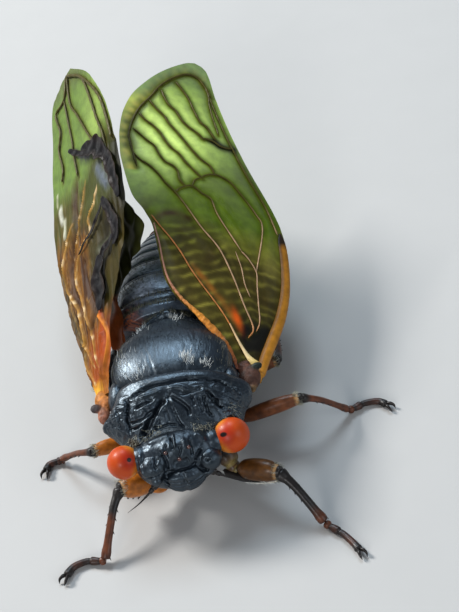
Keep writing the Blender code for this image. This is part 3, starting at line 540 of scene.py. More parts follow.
# Shield over the front of the thorax
# One hard black plate like a saddle: an hourglass field down the middle, furrowed and wrinkled
# lobes beside it, a smooth collar along its rear edge and a blunt flange out to each side.
PRONOTUM_STATIONS = (
    (-10.05, 3.1, 0.9, -1.4), (-9.7, 3.5, 1.3, -1.7), (-9.2, 4.0, 1.75, -1.9), (-8.7, 4.4, 2.1, -1.9),
    (-8.2, 4.65, 2.4, -1.9), (-7.6, 4.75, 2.72, -1.8), (-7.0, 4.75, 2.92, -1.6), (-6.5, 4.65, 3.0, -1.3),
    (-6.2, 4.45, 2.95, -1.1),
)
SHIELD_MIDDLE = (0.0, -8.3, 2.0)
SHIELD_CREASES = (
    (-0.50, 0.19, ((-0.52, 0.50), (-0.99, 0.06), (-1.36, -0.40), (-1.75, -0.86), (-2.13, -1.37),
                   (-2.50, -1.84))),
    (-0.24, 0.08, ((-0.20, 0.92), (-0.28, 0.65), (-0.23, 0.35), (-0.18, -0.03), (-0.07, -0.41),
                   (0.04, -0.79), (0.18, -1.25), (0.47, -1.67))),
    (0.16, 0.11, ((-0.58, 0.22), (-0.95, -0.22), (-1.31, -0.82), (-1.77, -1.46), (-2.10, -1.84))),
    (-0.12, 0.06, ((-1.05, -0.10), (-1.15, -0.50), (-1.18, -1.14))),
    (-0.26, 0.13, ((-0.10, 0.70), (0.23, 0.36), (0.68, -0.08), (0.96, -0.52), (0.96, -0.96))),
    (-0.34, 0.13, ((2.40, 0.60), (2.54, 0.36), (2.78, -0.12), (3.07, -0.53), (3.38, -0.81))),
    (-0.22, 0.10, ((2.20, 0.30), (2.12, -0.10), (2.21, -0.50), (2.28, -0.90), (2.44, -1.22))),
    (-0.34, 0.12, ((-3.05, 0.80), (-3.13, 0.50), (-3.23, 0.01), (-3.30, -0.78), (-3.27, -1.44))),
    (-0.26, 0.11, ((-2.86, 0.85), (-2.30, 1.15), (-1.68, 1.37), (-1.07, 1.51), (-0.33, 1.50), (0.41, 1.55),
                   (1.41, 1.50), (2.46, 1.30), (3.47, 0.89), (4.30, 0.26))),
    (0.12, 0.12, ((-2.37, 0.73), (-1.84, 0.85), (-1.17, 0.95), (-0.71, 1.09))),
    (-0.20, 0.10, ((-3.16, -0.80), (-2.64, -0.75), (-2.09, -0.56), (-1.51, -0.15))),
    (-0.18, 0.08, ((-3.16, -1.24), (-2.71, -1.17), (-2.31, -0.95))),
    (-0.18, 0.10, ((-2.75, 0.10), (-2.25, 0.30), (-1.75, 0.45), (-1.30, 0.60))),
    (-0.12, 0.08, ((-4.04, 0.37), (-3.92, -0.23), (-3.91, -0.96))),
    (0.14, 0.10, ((-0.12, 1.10), (0.33, 1.14), (0.81, 1.00), (1.05, 0.77))),
    (-0.20, 0.09, ((1.26, 0.40), (1.40, 0.04), (1.36, -0.33))),
    (-0.16, 0.08, ((1.75, 0.20), (1.80, -0.30), (1.98, -0.92))),
    (0.12, 0.07, ((1.55, 0.25), (1.60, -0.10))),
    (-0.14, 0.09, ((-0.63, -0.19), (-0.51, -0.62), (-0.52, -1.13))),
    (-0.12, 0.10, ((-1.70, -1.30), (-1.10, -1.38), (-0.50, -1.30), (0.10, -1.44))),
    (-0.16, 0.12, ((0.60, 0.60), (1.10, 0.62), (1.70, 0.70), (2.10, 0.85))),
)


def pronotum_relief(x, y, up):
    """The swelling of the shield's middle field and of the lobes, and its side flanges."""
    right = 0.5 * bell(y + 8.08, 0.5 if y > -8.08 else 0.42)
    left = 0.62 * bell((y + 7.45 - 0.19 * x) ** 2, 1.3)
    flange = bell(up, 0.3) * np.where(x < 0, right, left)
    flange -= 0.5 * bell(up - 0.2, 0.45) * np.clip((y + 7.9) / 1.1, 0, 1) * np.clip(-x / 3 - 0.6, 0, 1)
    ahead = max(-7.8 - y, 0)
    field = 0.14 * bell(x + 0.2 * ahead, 0.15 + 0.6 * ahead) * bell(y + 8.7, 0.8)
    hump = 0.16 * bell(np.abs(x) - 2.2, 0.75) * bell(y + 8.2, 0.8)
    outer = 0.12 * bell(np.abs(x) - 3.9, 0.45) * bell(y + 8.0, 0.7)
    return flange + (hump + field + outer) * np.clip(up / 0.15, 0, 1)


pronotum_mesh = skin_mesh("pronotum_shell", sections(PRONOTUM_STATIONS, 190, 400, 2.2, pronotum_relief))
shield_points = mesh_points(pronotum_mesh)
shield_x, shield_y = shield_points.T[:2]
lobe_share = bell(shield_y + 8.4, 1.15) * np.clip(np.abs(shield_x) - 0.9, 0, 1)
lobe_share *= 1 - bell(np.abs(shield_x) - 4.9, 0.5)
wrinkle_place = shield_points * np.array((1.0, 1.7, 1.0))
wrinkles = 1 - 2.6 * np.abs(grain(wrinkle_place, 0.6, 4))
shield_relief = 0.06 * lobe_share * wrinkles + 0.03 * lobe_share * grain(shield_points, 0.3, 5)
shield_relief += 0.009 * grain(shield_points, 0.15, 6) + 0.03 * grain(shield_points, 0.8, 7)
side_share = bell(shield_y + 8.0, 1.2) * np.clip((np.abs(shield_x) - 3.2) / 0.6, 0, 1)
side_place = shield_points * np.array((1.0, 1.9, 1.6))
shield_relief += 0.035 * side_share * (1 - 2.6 * np.abs(grain(side_place, 0.42, 38)))
shield_relief += 0.014 * side_share * grain(side_place, 0.2, 39)
raise_skin(pronotum_mesh, shield_relief)
carve(pronotum_mesh, SHIELD_MIDDLE, SHIELD_CREASES)
shield_finish = cuticle_finish("cuticle_shield", (0.23, 0.44))
put_piece(pronotum_mesh, shield_finish, ("pronotum",))

# Shield over the middle of the thorax
# The largest plate, smoothly domed and finely scratched lengthwise, with a raised cross at its
# rear that ends over the waist. The wings hinge in the clefts on each side of it.
MESONOTUM_STATIONS = (
    (-6.6, 3.2, 2.3, -0.4), (-5.6, 4.0, 2.75, -0.4), (-4.6, 4.3, 2.95, -0.4), (-3.4, 4.3, 3.0, -0.4),
    (-2.2, 3.95, 2.85, -0.4), (-1.2, 3.3, 2.6, -0.4), (-0.3, 2.4, 2.4, -0.3), (0.4, 1.6, 2.3, 0.2),
    (0.9, 1.1, 2.0, 0.7),
)


def mesonotum_relief(x, y, up):
    """The dome's rear groove, and the low raised cross behind it with a hollow on each side."""
    cross = 0.16 * bell(np.abs(x) - 0.5 * abs(y - 0.5), 0.3) * bell(y - 0.5, 0.5)
    hollow = 0.34 * bell(y + 0.08 + 0.16 * x * x, 0.17)
    seam = 0.05 * bell(np.abs(x) - 1.15 - 0.22 * (y + 5.6), 0.07) * bell(y + 5.2, 1.1)
    edge = 0.1 * bell(up - 0.22, 0.08)
    return (cross - hollow - seam - edge) * np.clip(up / 0.1, 0, 1)


mesonotum_mesh = skin_mesh("mesonotum_shell", sections(MESONOTUM_STATIONS, 170, 320, 2.2, mesonotum_relief))
back_points = mesh_points(mesonotum_mesh)
scratch_place = back_points * np.array((1.0, 0.16, 1.0))
raise_skin(mesonotum_mesh, 0.008 * grain(scratch_place, 0.1, 8) + 0.012 * grain(scratch_place, 0.4, 9)
           - 0.05 * np.clip(grain(scratch_place, 0.22, 26) - 0.3, 0, 1))
back_finish = cuticle_finish("cuticle_back", (0.24, 0.44), (1.0, 0.25, 1.0), 8000.0)
put_piece(mesonotum_mesh, back_finish, ("mesonotum",))
SIDES = ((1, "l"), (-1, "r"))
for side, letter in SIDES:
    lobe_parts = [egg_mesh("lobe", (side * 3.95, -6.1, 0.7), (0.72, 1.5, 0.95), 0.2, 48, 32),
                  egg_mesh("lobe", (side * 4.2, -3.2, 0.35), (0.6, 2.4, 0.85), 0.0, 48, 32)]
    lobe_mesh = grow_together("mesonotum_lobe_" + letter, lobe_parts, 0.05, 6)
    lobe_points = mesh_points(lobe_mesh)
    raise_skin(lobe_mesh, 0.03 * grain(lobe_points, 0.5, 35) + 0.01 * grain(lobe_points, 0.15, 36))
    put_piece(lobe_mesh, back_finish)

# Flanks and underside of the thorax
# Black plates parted by seams, with a groove down the underside between the legs. Round each
# leg's socket the skin turns amber, as it stays soft there.
THORAX_STATIONS = (
    (-9.3, 2.3, -0.3, -2.2), (-8.6, 3.2, 0.2, -2.7), (-7.0, 3.9, 0.5, -3.0), (-5.0, 4.05, 0.6, -3.1),
    (-3.0, 4.0, 0.6, -3.1), (-1.2, 3.8, 0.5, -3.0), (0.3, 3.6, 0.4, -2.8),
)
THORAX_SEAMS = (-7.5, -6.0, -4.3, -2.6, -1.3)
LEG_SOCKETS = ((2.4, -8.3, -2.3), (2.1, -4.9, -2.6), (2.3, -1.2, -2.6))
AMBER = (0.30, 0.09, 0.014)


def paint(mesh, colours):
    """Store a colour for each point of a mesh."""
    values = np.ones((len(mesh.vertices), 4))
    values[:, :3] = colours
    attribute = mesh.attributes.new("tint", "FLOAT_COLOR", "POINT")
    attribute.data.foreach_set("color", values.ravel())


def blend(base, colour, share):
    """Colours moved towards another by a share for each point."""
    share = np.clip(np.asarray(share, float), 0, 1)[..., None]
    return np.asarray(base) * (1 - share) + np.asarray(colour) * share


def layered(ground, *layers):
    """A ground colour with (colour, share) layers laid over it, one after the other."""
    for colour, share in layers:
        ground = blend(ground, colour, share)
    return ground


def stored_tint(tree, shader, cloud, low, high):
    """The colour stored on the mesh as a shader's own, darker and lighter over a cloud."""
    tint = wire(tree, "Attribute", {}, attribute_name="tint").outputs["Color"]
    tone = wire(tree, "HueSaturation", {"Color": tint, "Value": stretched(tree, cloud, low, high)})
    tree.links.new(tone.outputs["Color"], shader.inputs["Base Color"])


def painted_finish(name, rough, fine=9000.0, depth=0.00003, specular=0.55, coat=0.0, mottle=0.35):
    """Hard skin whose colour is stored on the mesh, with mottling, fine grain and a satin gloss."""
    material, tree, shader, place = new_finish(name)
    stored_tint(tree, shader, cloudy(tree, place, 1900.0, 5.0, 0.6), 1 - mottle, 1 + mottle)
    pits = cloudy(tree, place, fine, 4.0, 0.6)
    tree.links.new(stretched(tree, pits, *rough), shader.inputs["Roughness"])
    add_relief(tree, shader, pits, 0.5, depth)
    set_sockets(shader, Specular_IOR_Level=specular, Coat_Weight=coat, Coat_Roughness=0.12)
    return material


def thorax_relief(x, y, up):
    """Seams between the plates, and the groove along the underside."""
    seams = sum(0.12 * bell(y - seam - 0.5 * up, 0.1) for seam in THORAX_SEAMS)
    return -seams - 0.2 * bell(x, 0.2) * (up < 0)


thorax_mesh = skin_mesh("thorax_shell", sections(THORAX_STATIONS, 130, 180, 2.3, thorax_relief))
thorax_points = mesh_points(thorax_mesh)
raise_skin(thorax_mesh, 0.03 * grain(thorax_points, 0.6, 10) + 0.012 * grain(thorax_points, 0.2, 11))
socket_share = np.zeros(len(thorax_points))
for socket in LEG_SOCKETS:
    away = np.linalg.norm((thorax_points - socket)[:, 1:], axis=1)
    socket_share = np.maximum(socket_share,
                              bell(away, 1.0) * bell(np.abs(thorax_points[:, 0]) - socket[0], 1.2))
paint(thorax_mesh, blend(CUTICLE_LIGHT, AMBER, 0.8 * socket_share + 0.1 * grain(thorax_points, 0.5, 12)))
flank_finish = painted_finish("cuticle_flank", (0.3, 0.5))
put_piece(thorax_mesh, flank_finish, ("thorax",))

# Abdomen
# Overlapping rings of hard skin, black with a blue dust above, each with a thin amber rear edge
# that broadens below. The ring tops are painted lighter, part blue dust and part painted sheen,
# with two painted highlight spots. The first rings carry a band of short pale hair.
ABDOMEN_STATIONS = (
    (0.75, 3.6, 2.1, -2.5), (2.0, 4.0, 2.3, -2.7), (4.0, 4.15, 2.25, -3.0), (6.0, 3.9, 1.9, -3.2),
    (8.0, 3.55, 1.4, -3.15), (10.0, 2.9, 0.7, -3.0), (11.6, 2.2, 0.0, -2.8), (12.7, 1.6, -0.5, -2.5),
)
TERGITE_EDGES = (0.75, 1.9, 2.75, 5.3, 7.2, 8.8, 10.2, 11.4, 12.3, 12.7)
TERGITE_STEP = 0.16
# Two painted highlight spots on the ring tops, pale blue, part bloom and part painted sheen: each with its
# middle, its size and its strength
SHEEN_AND_DUST_SPOTS = (((-1.9, 3.7, 2.05), 1.05, 0.85), ((-1.7, 6.2, 1.6), 0.8, 0.45))
SHEEN_AND_DUST_BLUE = (0.50, 0.58, 0.72)
WAIST_SPOT = (-2.9, 1.2, 1.1)


def ring_share(y):
    """How far along its own ring a place on the abdomen is, from its front edge to its rear."""
    edges = np.array(TERGITE_EDGES)
    index = np.clip(np.searchsorted(edges, y, "right") - 1, 0, len(edges) - 2)
    return (y - edges[index]) / (edges[index + 1] - edges[index])


def abdomen_relief(x, y, up):
    """Each ring rises from under the one before it, and a seam parts its back from its belly."""
    share = ring_share(y)
    step = TERGITE_STEP * (np.sin(np.pi * share ** 0.8) ** 0.5 - 0.8) - 0.05 * bell(share - 0.86, 0.04)
    step = step + 0.16 * bell(y - 1.25, 0.4) - 0.22 * bell(y - 2.75, 0.12)
    seam = 0.12 * bell(up + 0.42, 0.07)
    drum = 0.05 * np.cos(2 * np.pi * y / 0.16) * bell(y - 1.4, 0.4) * bell(up - 0.45, 0.2)
    return step - seam + drum


abdomen_mesh = skin_mesh("abdomen_shell", sections(ABDOMEN_STATIONS, 330, 150, 2.2, abdomen_relief))
abdomen_points = mesh_points(abdomen_mesh)
raise_skin(abdomen_mesh, 0.02 * grain(abdomen_points, 0.7, 13) + 0.008 * grain(abdomen_points, 0.18, 14))
abdomen_y = abdomen_points[:, 1]
abdomen_up = abdomen_points[:, 2] - np.interp(abdomen_y, (0.75, 4, 8, 12.7), (-0.4, -0.6, -1.1, -1.6))
edge_share = np.clip((ring_share(abdomen_y) - 0.9 + 0.2 * np.clip(-abdomen_up, 0, 1)) / 0.06, 0, 1)
dust = grain(abdomen_points, 0.8, 15)
fine_speckle = grain(abdomen_points, 0.16, 33)
# Ring tops lighter blue, part dust and part painted sheen, strongest round the ring near y 3.8
top_dust_and_sheen = np.clip(0.2 + abdomen_up / 2.6, 0, 1) * bell(ring_share(abdomen_y) - 0.4, 0.34)
top_dust_and_sheen *= 0.35 + 0.65 * bell(abdomen_y - 3.8, 1.3)
# The painted highlight spots, laid only on the ring tops
spot_sheen_and_dust = [bell(np.linalg.norm(abdomen_points - place, axis=1), size) * (share + fine_speckle)
             * (top_dust_and_sheen > 0.05) for place, size, share in SHEEN_AND_DUST_SPOTS]
waist_share = bell(np.linalg.norm(abdomen_points - WAIST_SPOT, axis=1), 0.85) * (0.6 + 1.8 * fine_speckle)
paint(abdomen_mesh, layered(CUTICLE_LIGHT, ((0.04, 0.052, 0.068), 0.6 + dust),
                            ((0.20, 0.25, 0.33), top_dust_and_sheen * (0.55 + 0.7 * fine_speckle + 0.3 * dust)),
                            (SHEEN_AND_DUST_BLUE, spot_sheen_and_dust[0]), (SHEEN_AND_DUST_BLUE, spot_sheen_and_dust[1]),
                            ((0.55, 0.15, 0.05), waist_share),
                            (AMBER, edge_share * np.where(abdomen_up < 0, 0.9, 0.06))))
ring_finish = painted_finish("cuticle_rings", (0.24, 0.42), specular=0.85)
set_sockets(ring_finish.node_tree.nodes["Principled BSDF"], Specular_Tint=SKY_GLINT)
put_piece(abdomen_mesh, ring_finish, ("abdomen",))

TIP_STATIONS = ((12.5, 1.55, -0.6, -2.4), (13.3, 1.3, -0.8, -2.3), (13.9, 0.9, -1.1, -2.2),
                (14.2, 0.4, -1.4, -2.0))


def tip_relief(x, y, up):
    """A cleft down the last ring's end and one ridge across it."""
    return -0.25 * bell(x, 0.16) * bell(y - 14.2, 0.9) + 0.1 * bell(y - 13.3, 0.12)


tip_mesh = skin_mesh("abdomen_end", sections(TIP_STATIONS, 60, 90, 2.0, tip_relief))
tip_points = mesh_points(tip_mesh)
paint(tip_mesh, blend(CUTICLE_LIGHT, AMBER, 0.5 + 0.8 * grain(tip_points, 0.5, 16)))
put_piece(tip_mesh, ring_finish, ("abdomen_tip",))

# Sound covers
# Two overlapping lids under the front of the abdomen, amber at the rim, black at the root.
# They are hard skin grown from the thorax, and lie over the openings of the sound organs.
for side, letter in SIDES:
    lid_middle = (side * 1.95, 1.4, -3.15)
    lid_mesh = egg_mesh("sound_cover_" + letter, lid_middle, (1.5, 1.5, 0.45))
    lid_points = mesh_points(lid_mesh)
    lid_away = np.linalg.norm((lid_points - lid_middle)[:, :2], axis=1)
    raise_skin(lid_mesh, 0.03 * np.cos(2 * np.pi * lid_away / 0.5) + 0.03 * grain(lid_points, 0.4, 17))
    paint(lid_mesh, blend(CUTICLE_LIGHT, AMBER, np.clip((lid_away - 0.7) / 0.4, 0, 1)))
    put_piece(lid_mesh, ring_finish, ("operculum_" + letter,))

# Beak and feelers
# The beak is a jointed tube laid back under the head. Each feeler is a stout black stalk in two
# joints that ends in a bristle, set in front of the eye.
LEG_DARK = (0.012, 0.009, 0.008)
FEELER_LINE = ((1.7, -2.6, -1.15), (2.15, -2.8, -1.5), (2.6, -2.95, -1.85), (3.3, -3.1, -2.35),
               (4.25, -3.25, -2.85))


def tube_rings(path, widths, heights, sides, above=(0, 0, 1)):
    """Rings of points round a path, as wide and as high as given at each of its points."""
    path = np.asarray(path, float)
    heading = np.gradient(path, axis=0)
    heading /= np.linalg.norm(heading, axis=1)[:, None]
    across = np.cross(heading, above)
    across /= np.linalg.norm(across, axis=1)[:, None]
    up = np.cross(across, heading)
    turns = np.linspace(0, 2 * np.pi, sides, endpoint=False)
    reach = np.broadcast_to(np.asarray(widths, float), len(path))[:, None, None]
    rise = np.broadcast_to(np.asarray(heights, float), len(path))[:, None, None]
    return (path[:, None] + across[:, None] * np.cos(turns)[None, :, None] * reach
            + up[:, None] * np.sin(turns)[None, :, None] * rise)


def profile(share, *stations):
    """A value along a length, smoothed through (share, value) stations."""
    places, values = np.array(stations, float).T
    fine = curve_through(np.stack([places, values], 1), 400)
    return np.interp(share, fine[:, 0], fine[:, 1])


beak_share = np.linspace(0, 1, 60)
beak_path = curve_through(((0, -2.0, -2.45), (0.02, -1.75, -3.1), (0.1, -0.9, -3.65), (0.3, 0.9, -4.3)),
                          60)
beak_size = profile(beak_share, (0, 0.3), (0.1, 0.42), (0.33, 0.36), (0.36, 0.3), (0.4, 0.35), (0.7, 0.28),
                    (0.74, 0.23), (0.78, 0.26), (0.97, 0.16), (1, 0.03))
beak_mesh = skin_mesh("beak", tube_rings(beak_path, beak_size, beak_size * 0.9, 28))
beak_points = mesh_points(beak_mesh)
raise_skin(beak_mesh, -0.07 * bell(beak_points[:, 0] - 0.11 * (beak_points[:, 1] + 2.3), 0.07)
           * (mesh_points(beak_mesh, "normal")[:, 2] < 0))
paint(beak_mesh, blend(LEG_DARK, AMBER, np.clip((beak_points[:, 1] + 0.9) / 1.0, 0, 0.6)))
leg_finish = painted_finish("cuticle_leg", (0.3, 0.5), 8000.0, 0.00002, 0.36, 0.03)
put_piece(beak_mesh, leg_finish, ("rostrum",), head_to_body)

for side, letter in SIDES:
    feeler_path = curve_through([(side * x, y, z) for x, y, z in FEELER_LINE], 120)
    feeler_size = profile(np.linspace(0, 1, 120), (0, 0.26), (0.12, 0.27), (0.24, 0.24), (0.27, 0.14),
                          (0.31, 0.18), (0.42, 0.15), (0.46, 0.09), (0.6, 0.075), (0.62, 0.06), (0.8, 0.045),
                          (1, 0.012))
    feeler_mesh = skin_mesh("feeler_" + letter, tube_rings(feeler_path, feeler_size, feeler_size, 20))
    paint(feeler_mesh, LEG_DARK)
    put_piece(feeler_mesh, leg_finish, ("antenna_" + letter,), head_to_body)

# Legs
# Six jointed legs: a stout hip, an amber thigh that is swollen and toothed in the fore legs, a
# pale ring of short hair before the black knee, a slim shin, and a foot of three joints with
# two hooked claws that stands flat.
FLOOR = -5.6
LEG_DARK_BROWN = (0.05, 0.016, 0.008)
LEG_AMBER = (0.40, 0.125, 0.014)
LEG_RUST = (0.15, 0.046, 0.014)
LEG_PALE = (0.42, 0.23, 0.09)
LEG_TAN = (0.20, 0.15, 0.05)
LEG_RED = (0.10, 0.028, 0.010)
LEG_BROWN = (0.10, 0.037, 0.006)
# Each leg: its root, hip, knee and ankle, the foot's line on the floor, how thick the leg and its
# thigh are, the thigh's colour and how far down the shin is black
LEGS = {
    "fore_l": ((2.4, -8.3, -2.3), (3.37, -10.00, -3.82), (6.61, -11.87, -2.59), (9.0, -14.6, -5.1),
               ((8.95, -14.75), (10.1, -15.6), (10.7, -16.5), (11.0, -17.1)), 1.0, 0.86, LEG_BROWN, 0.8),
    "fore_r": ((-2.2, -8.3, -2.3), (-2.1, -10.2, -3.8), (-4.75, -11.4, -2.4), (-6.15, -15.1, -5.1),
               ((-6.2, -15.1), (-7.5, -14.85), (-8.4, -15.15), (-8.9, -15.8)), 1.0, 0.9, LEG_AMBER, 0.5),
    "mid_l": ((2.1, -4.9, -2.6), (3.7, -6.1, -3.2), (8.9, -5.8, -2.0), (12.0, -4.9, -5.1),
              ((12.0, -4.85), (13.3, -4.3), (14.3, -4.3), (14.85, -4.75)), 0.85, 0.6, LEG_RUST, 0.1),
    "mid_r": ((-2.1, -4.9, -2.6), (-3.2, -6.3, -3.4), (-6.6, -7.6, -2.5), (-9.1, -5.6, -5.1),
              ((-9.1, -5.6), (-9.7, -5.6), (-10.2, -5.8), (-10.4, -6.3)), 0.85, 0.6, LEG_AMBER, 0.1),
    "hind_l": ((2.3, -1.2, -2.6), (3.5, -1.7, -3.5), (7.6, -1.2, -2.7), (7.6, 4.6, -5.1),
               ((7.6, 4.6), (7.75, 5.5), (8.05, 6.4), (8.3, 7.0)), 0.8, 0.55, LEG_RUST, 0.12),
    "hind_r": ((-2.3, -1.2, -2.6), (-3.3, -1.5, -3.5), (-6.4, -0.8, -2.9), (-6.3, 5.0, -5.1),
               ((-6.3, 5.0), (-6.4, 5.9), (-6.6, 6.8), (-6.75, 7.5)), 0.8, 0.55, LEG_RUST, 0.12),
}
HIP_END = {"fore_l": (3.3, -9.7, -3.5)}
KEEL_LINE = ((2.40, -9.95, -3.72), (2.97, -10.35, -3.91), (3.75, -10.86, -3.95), (4.31, -11.23, -3.86),
             (4.95, -11.55, -3.70), (5.55, -11.80, -3.48), (6.19, -11.99, -3.20), (6.49, -12.12, -2.84))
TIBIA_RADIUS = 0.42
TARSUS_RADIUS = 0.3
# Sizes and colours along each joint, as (share of its length, value)
HIP_SIZE = ((0, 0.62), (0.15, 0.84), (0.5, 0.78), (0.8, 0.68), (0.95, 0.5), (1, 0.1))
HIP_TINT = ((0, LEG_DARK), (0.55, LEG_DARK), (0.8, (0.09, 0.05, 0.022)), (1, LEG_TAN))
SHIN_SIZE = ((0, 0.7), (0.02, 0.98), (0.07, 1.04), (0.15, 0.9), (0.25, 0.74), (0.6, 0.66), (0.85, 0.68),
             (0.94, 0.82), (0.99, 0.7), (1, 0.15))
FOOT_SIZE = ((0, 0.5), (0.04, 0.95), (0.14, 1.0), (0.19, 0.7), (0.22, 0.8), (0.38, 1.0), (0.43, 0.66),
             (0.47, 0.78), (0.8, 0.86), (0.94, 1.0), (0.99, 0.7), (1, 0.15))
FOOT_TINT = ((0, LEG_RED), (0.17, LEG_RED), (0.2, LEG_DARK), (0.3, LEG_DARK_BROWN), (0.44, LEG_DARK),
             (0.7, LEG_DARK_BROWN), (0.85, LEG_DARK), (1, LEG_DARK))
CLAW_SIZE = ((0, 0.15), (0.3, 0.15), (0.7, 0.1), (1, 0.01))
# Claws: how far ahead of the foot's end, to its side and up each place on them is
CLAW_LINE = ((-0.08, 0.08, 0), (0.2, 0.18, 0.12), (0.46, 0.24, 0.06), (0.64, 0.2, -0.22))
# Colours along the keel: silver-white, a painted highlight where the thigh's lower edge catches the light
KEEL_HIGHLIGHT_TINT = ((0, (0.40, 0.42, 0.40)), (0.2, (0.85, 0.89, 0.87)), (0.7, (0.75, 0.72, 0.62)),
             (1, (0.40, 0.30, 0.18)))
JOINT_TINT = ((0, LEG_TAN), (0.3, LEG_TAN), (0.42, (0.07, 0.022, 0.01)), (0.6, (0.16, 0.10, 0.04)),
              (1, (0.12, 0.06, 0.02)))
COLLAR_LINE = ((-2.7, -10.5, -3.7), (-2.0, -10.35, -4.0), (-1.45, -10.15, -4.15))


def tinted_tube(path, widths, heights, sides, tints):
    """Rings round a path, with the colour of each ring's points and of the two end points."""
    grid = tube_rings(path, widths, heights, sides)
    tints = np.asarray(tints, float)
    return grid, np.concatenate([np.repeat(tints, sides, 0), [tints[0]], [tints[-1]]])


def leg_piece(name, parts, node, floor=False):
    """One joint of a leg from its tubes, painted and set to stand for its node."""
    mesh = skin_mesh(name, *[grid for grid, tint in parts])
    points = mesh_points(mesh)
    if floor:
        points[:, 2] = np.maximum(points[:, 2], FLOOR)
        mesh.vertices.foreach_set("co", points.ravel())
    tints = np.concatenate([tint for grid, tint in parts])
    paint(mesh, np.clip(tints * (1 + 0.5 * grain(points, 0.35, 18))[:, None], 0.002, 1))
    put_piece(mesh, leg_finish, (node,))


def tint_along(share, *stations):
    """Colours along a length, from (share, colour) stations."""
    places = [place for place, colour in stations]
    return np.stack([np.interp(share, places, [colour[band] for place, colour in stations])
                     for band in range(3)], 1)


def spine(start, aim, length, radius, tint, sag=0.2):
    """A sharp spine or claw that leaves a place in a direction and bends down a little."""
    aim = np.asarray(aim, float) / np.linalg.norm(aim)
    share = np.linspace(0, 1, 9)
    path = start + aim * length * share[:, None] - np.array((0, 0, sag)) * (share ** 2)[:, None]
    size = radius * np.sqrt(np.clip(1 - share, 0, 1)) + 0.004
    return tinted_tube(path, size, size, 8, np.repeat([tint], 9, 0))


def tapered(line, count, sides, sizes, tints, size=1.0, across=1.0, high=1.0):
    """A tube along a line whose size and colour follow their stations."""
    share = np.linspace(0, 1, count)
    radius = size * profile(share, *sizes)
    return tinted_tube(curve_through(line, count), radius * across, radius * high, sides,
                       tint_along(share, *tints))


def swollen(line, radius, start, end, power, tints):
    """A short tube along a line, thickest in its middle."""
    size = radius * np.sin(np.linspace(start, end, 40)) ** power
    return tinted_tube(curve_through(line, 40), size, size, 30, tint_along(np.linspace(0, 1, 40), *tints))


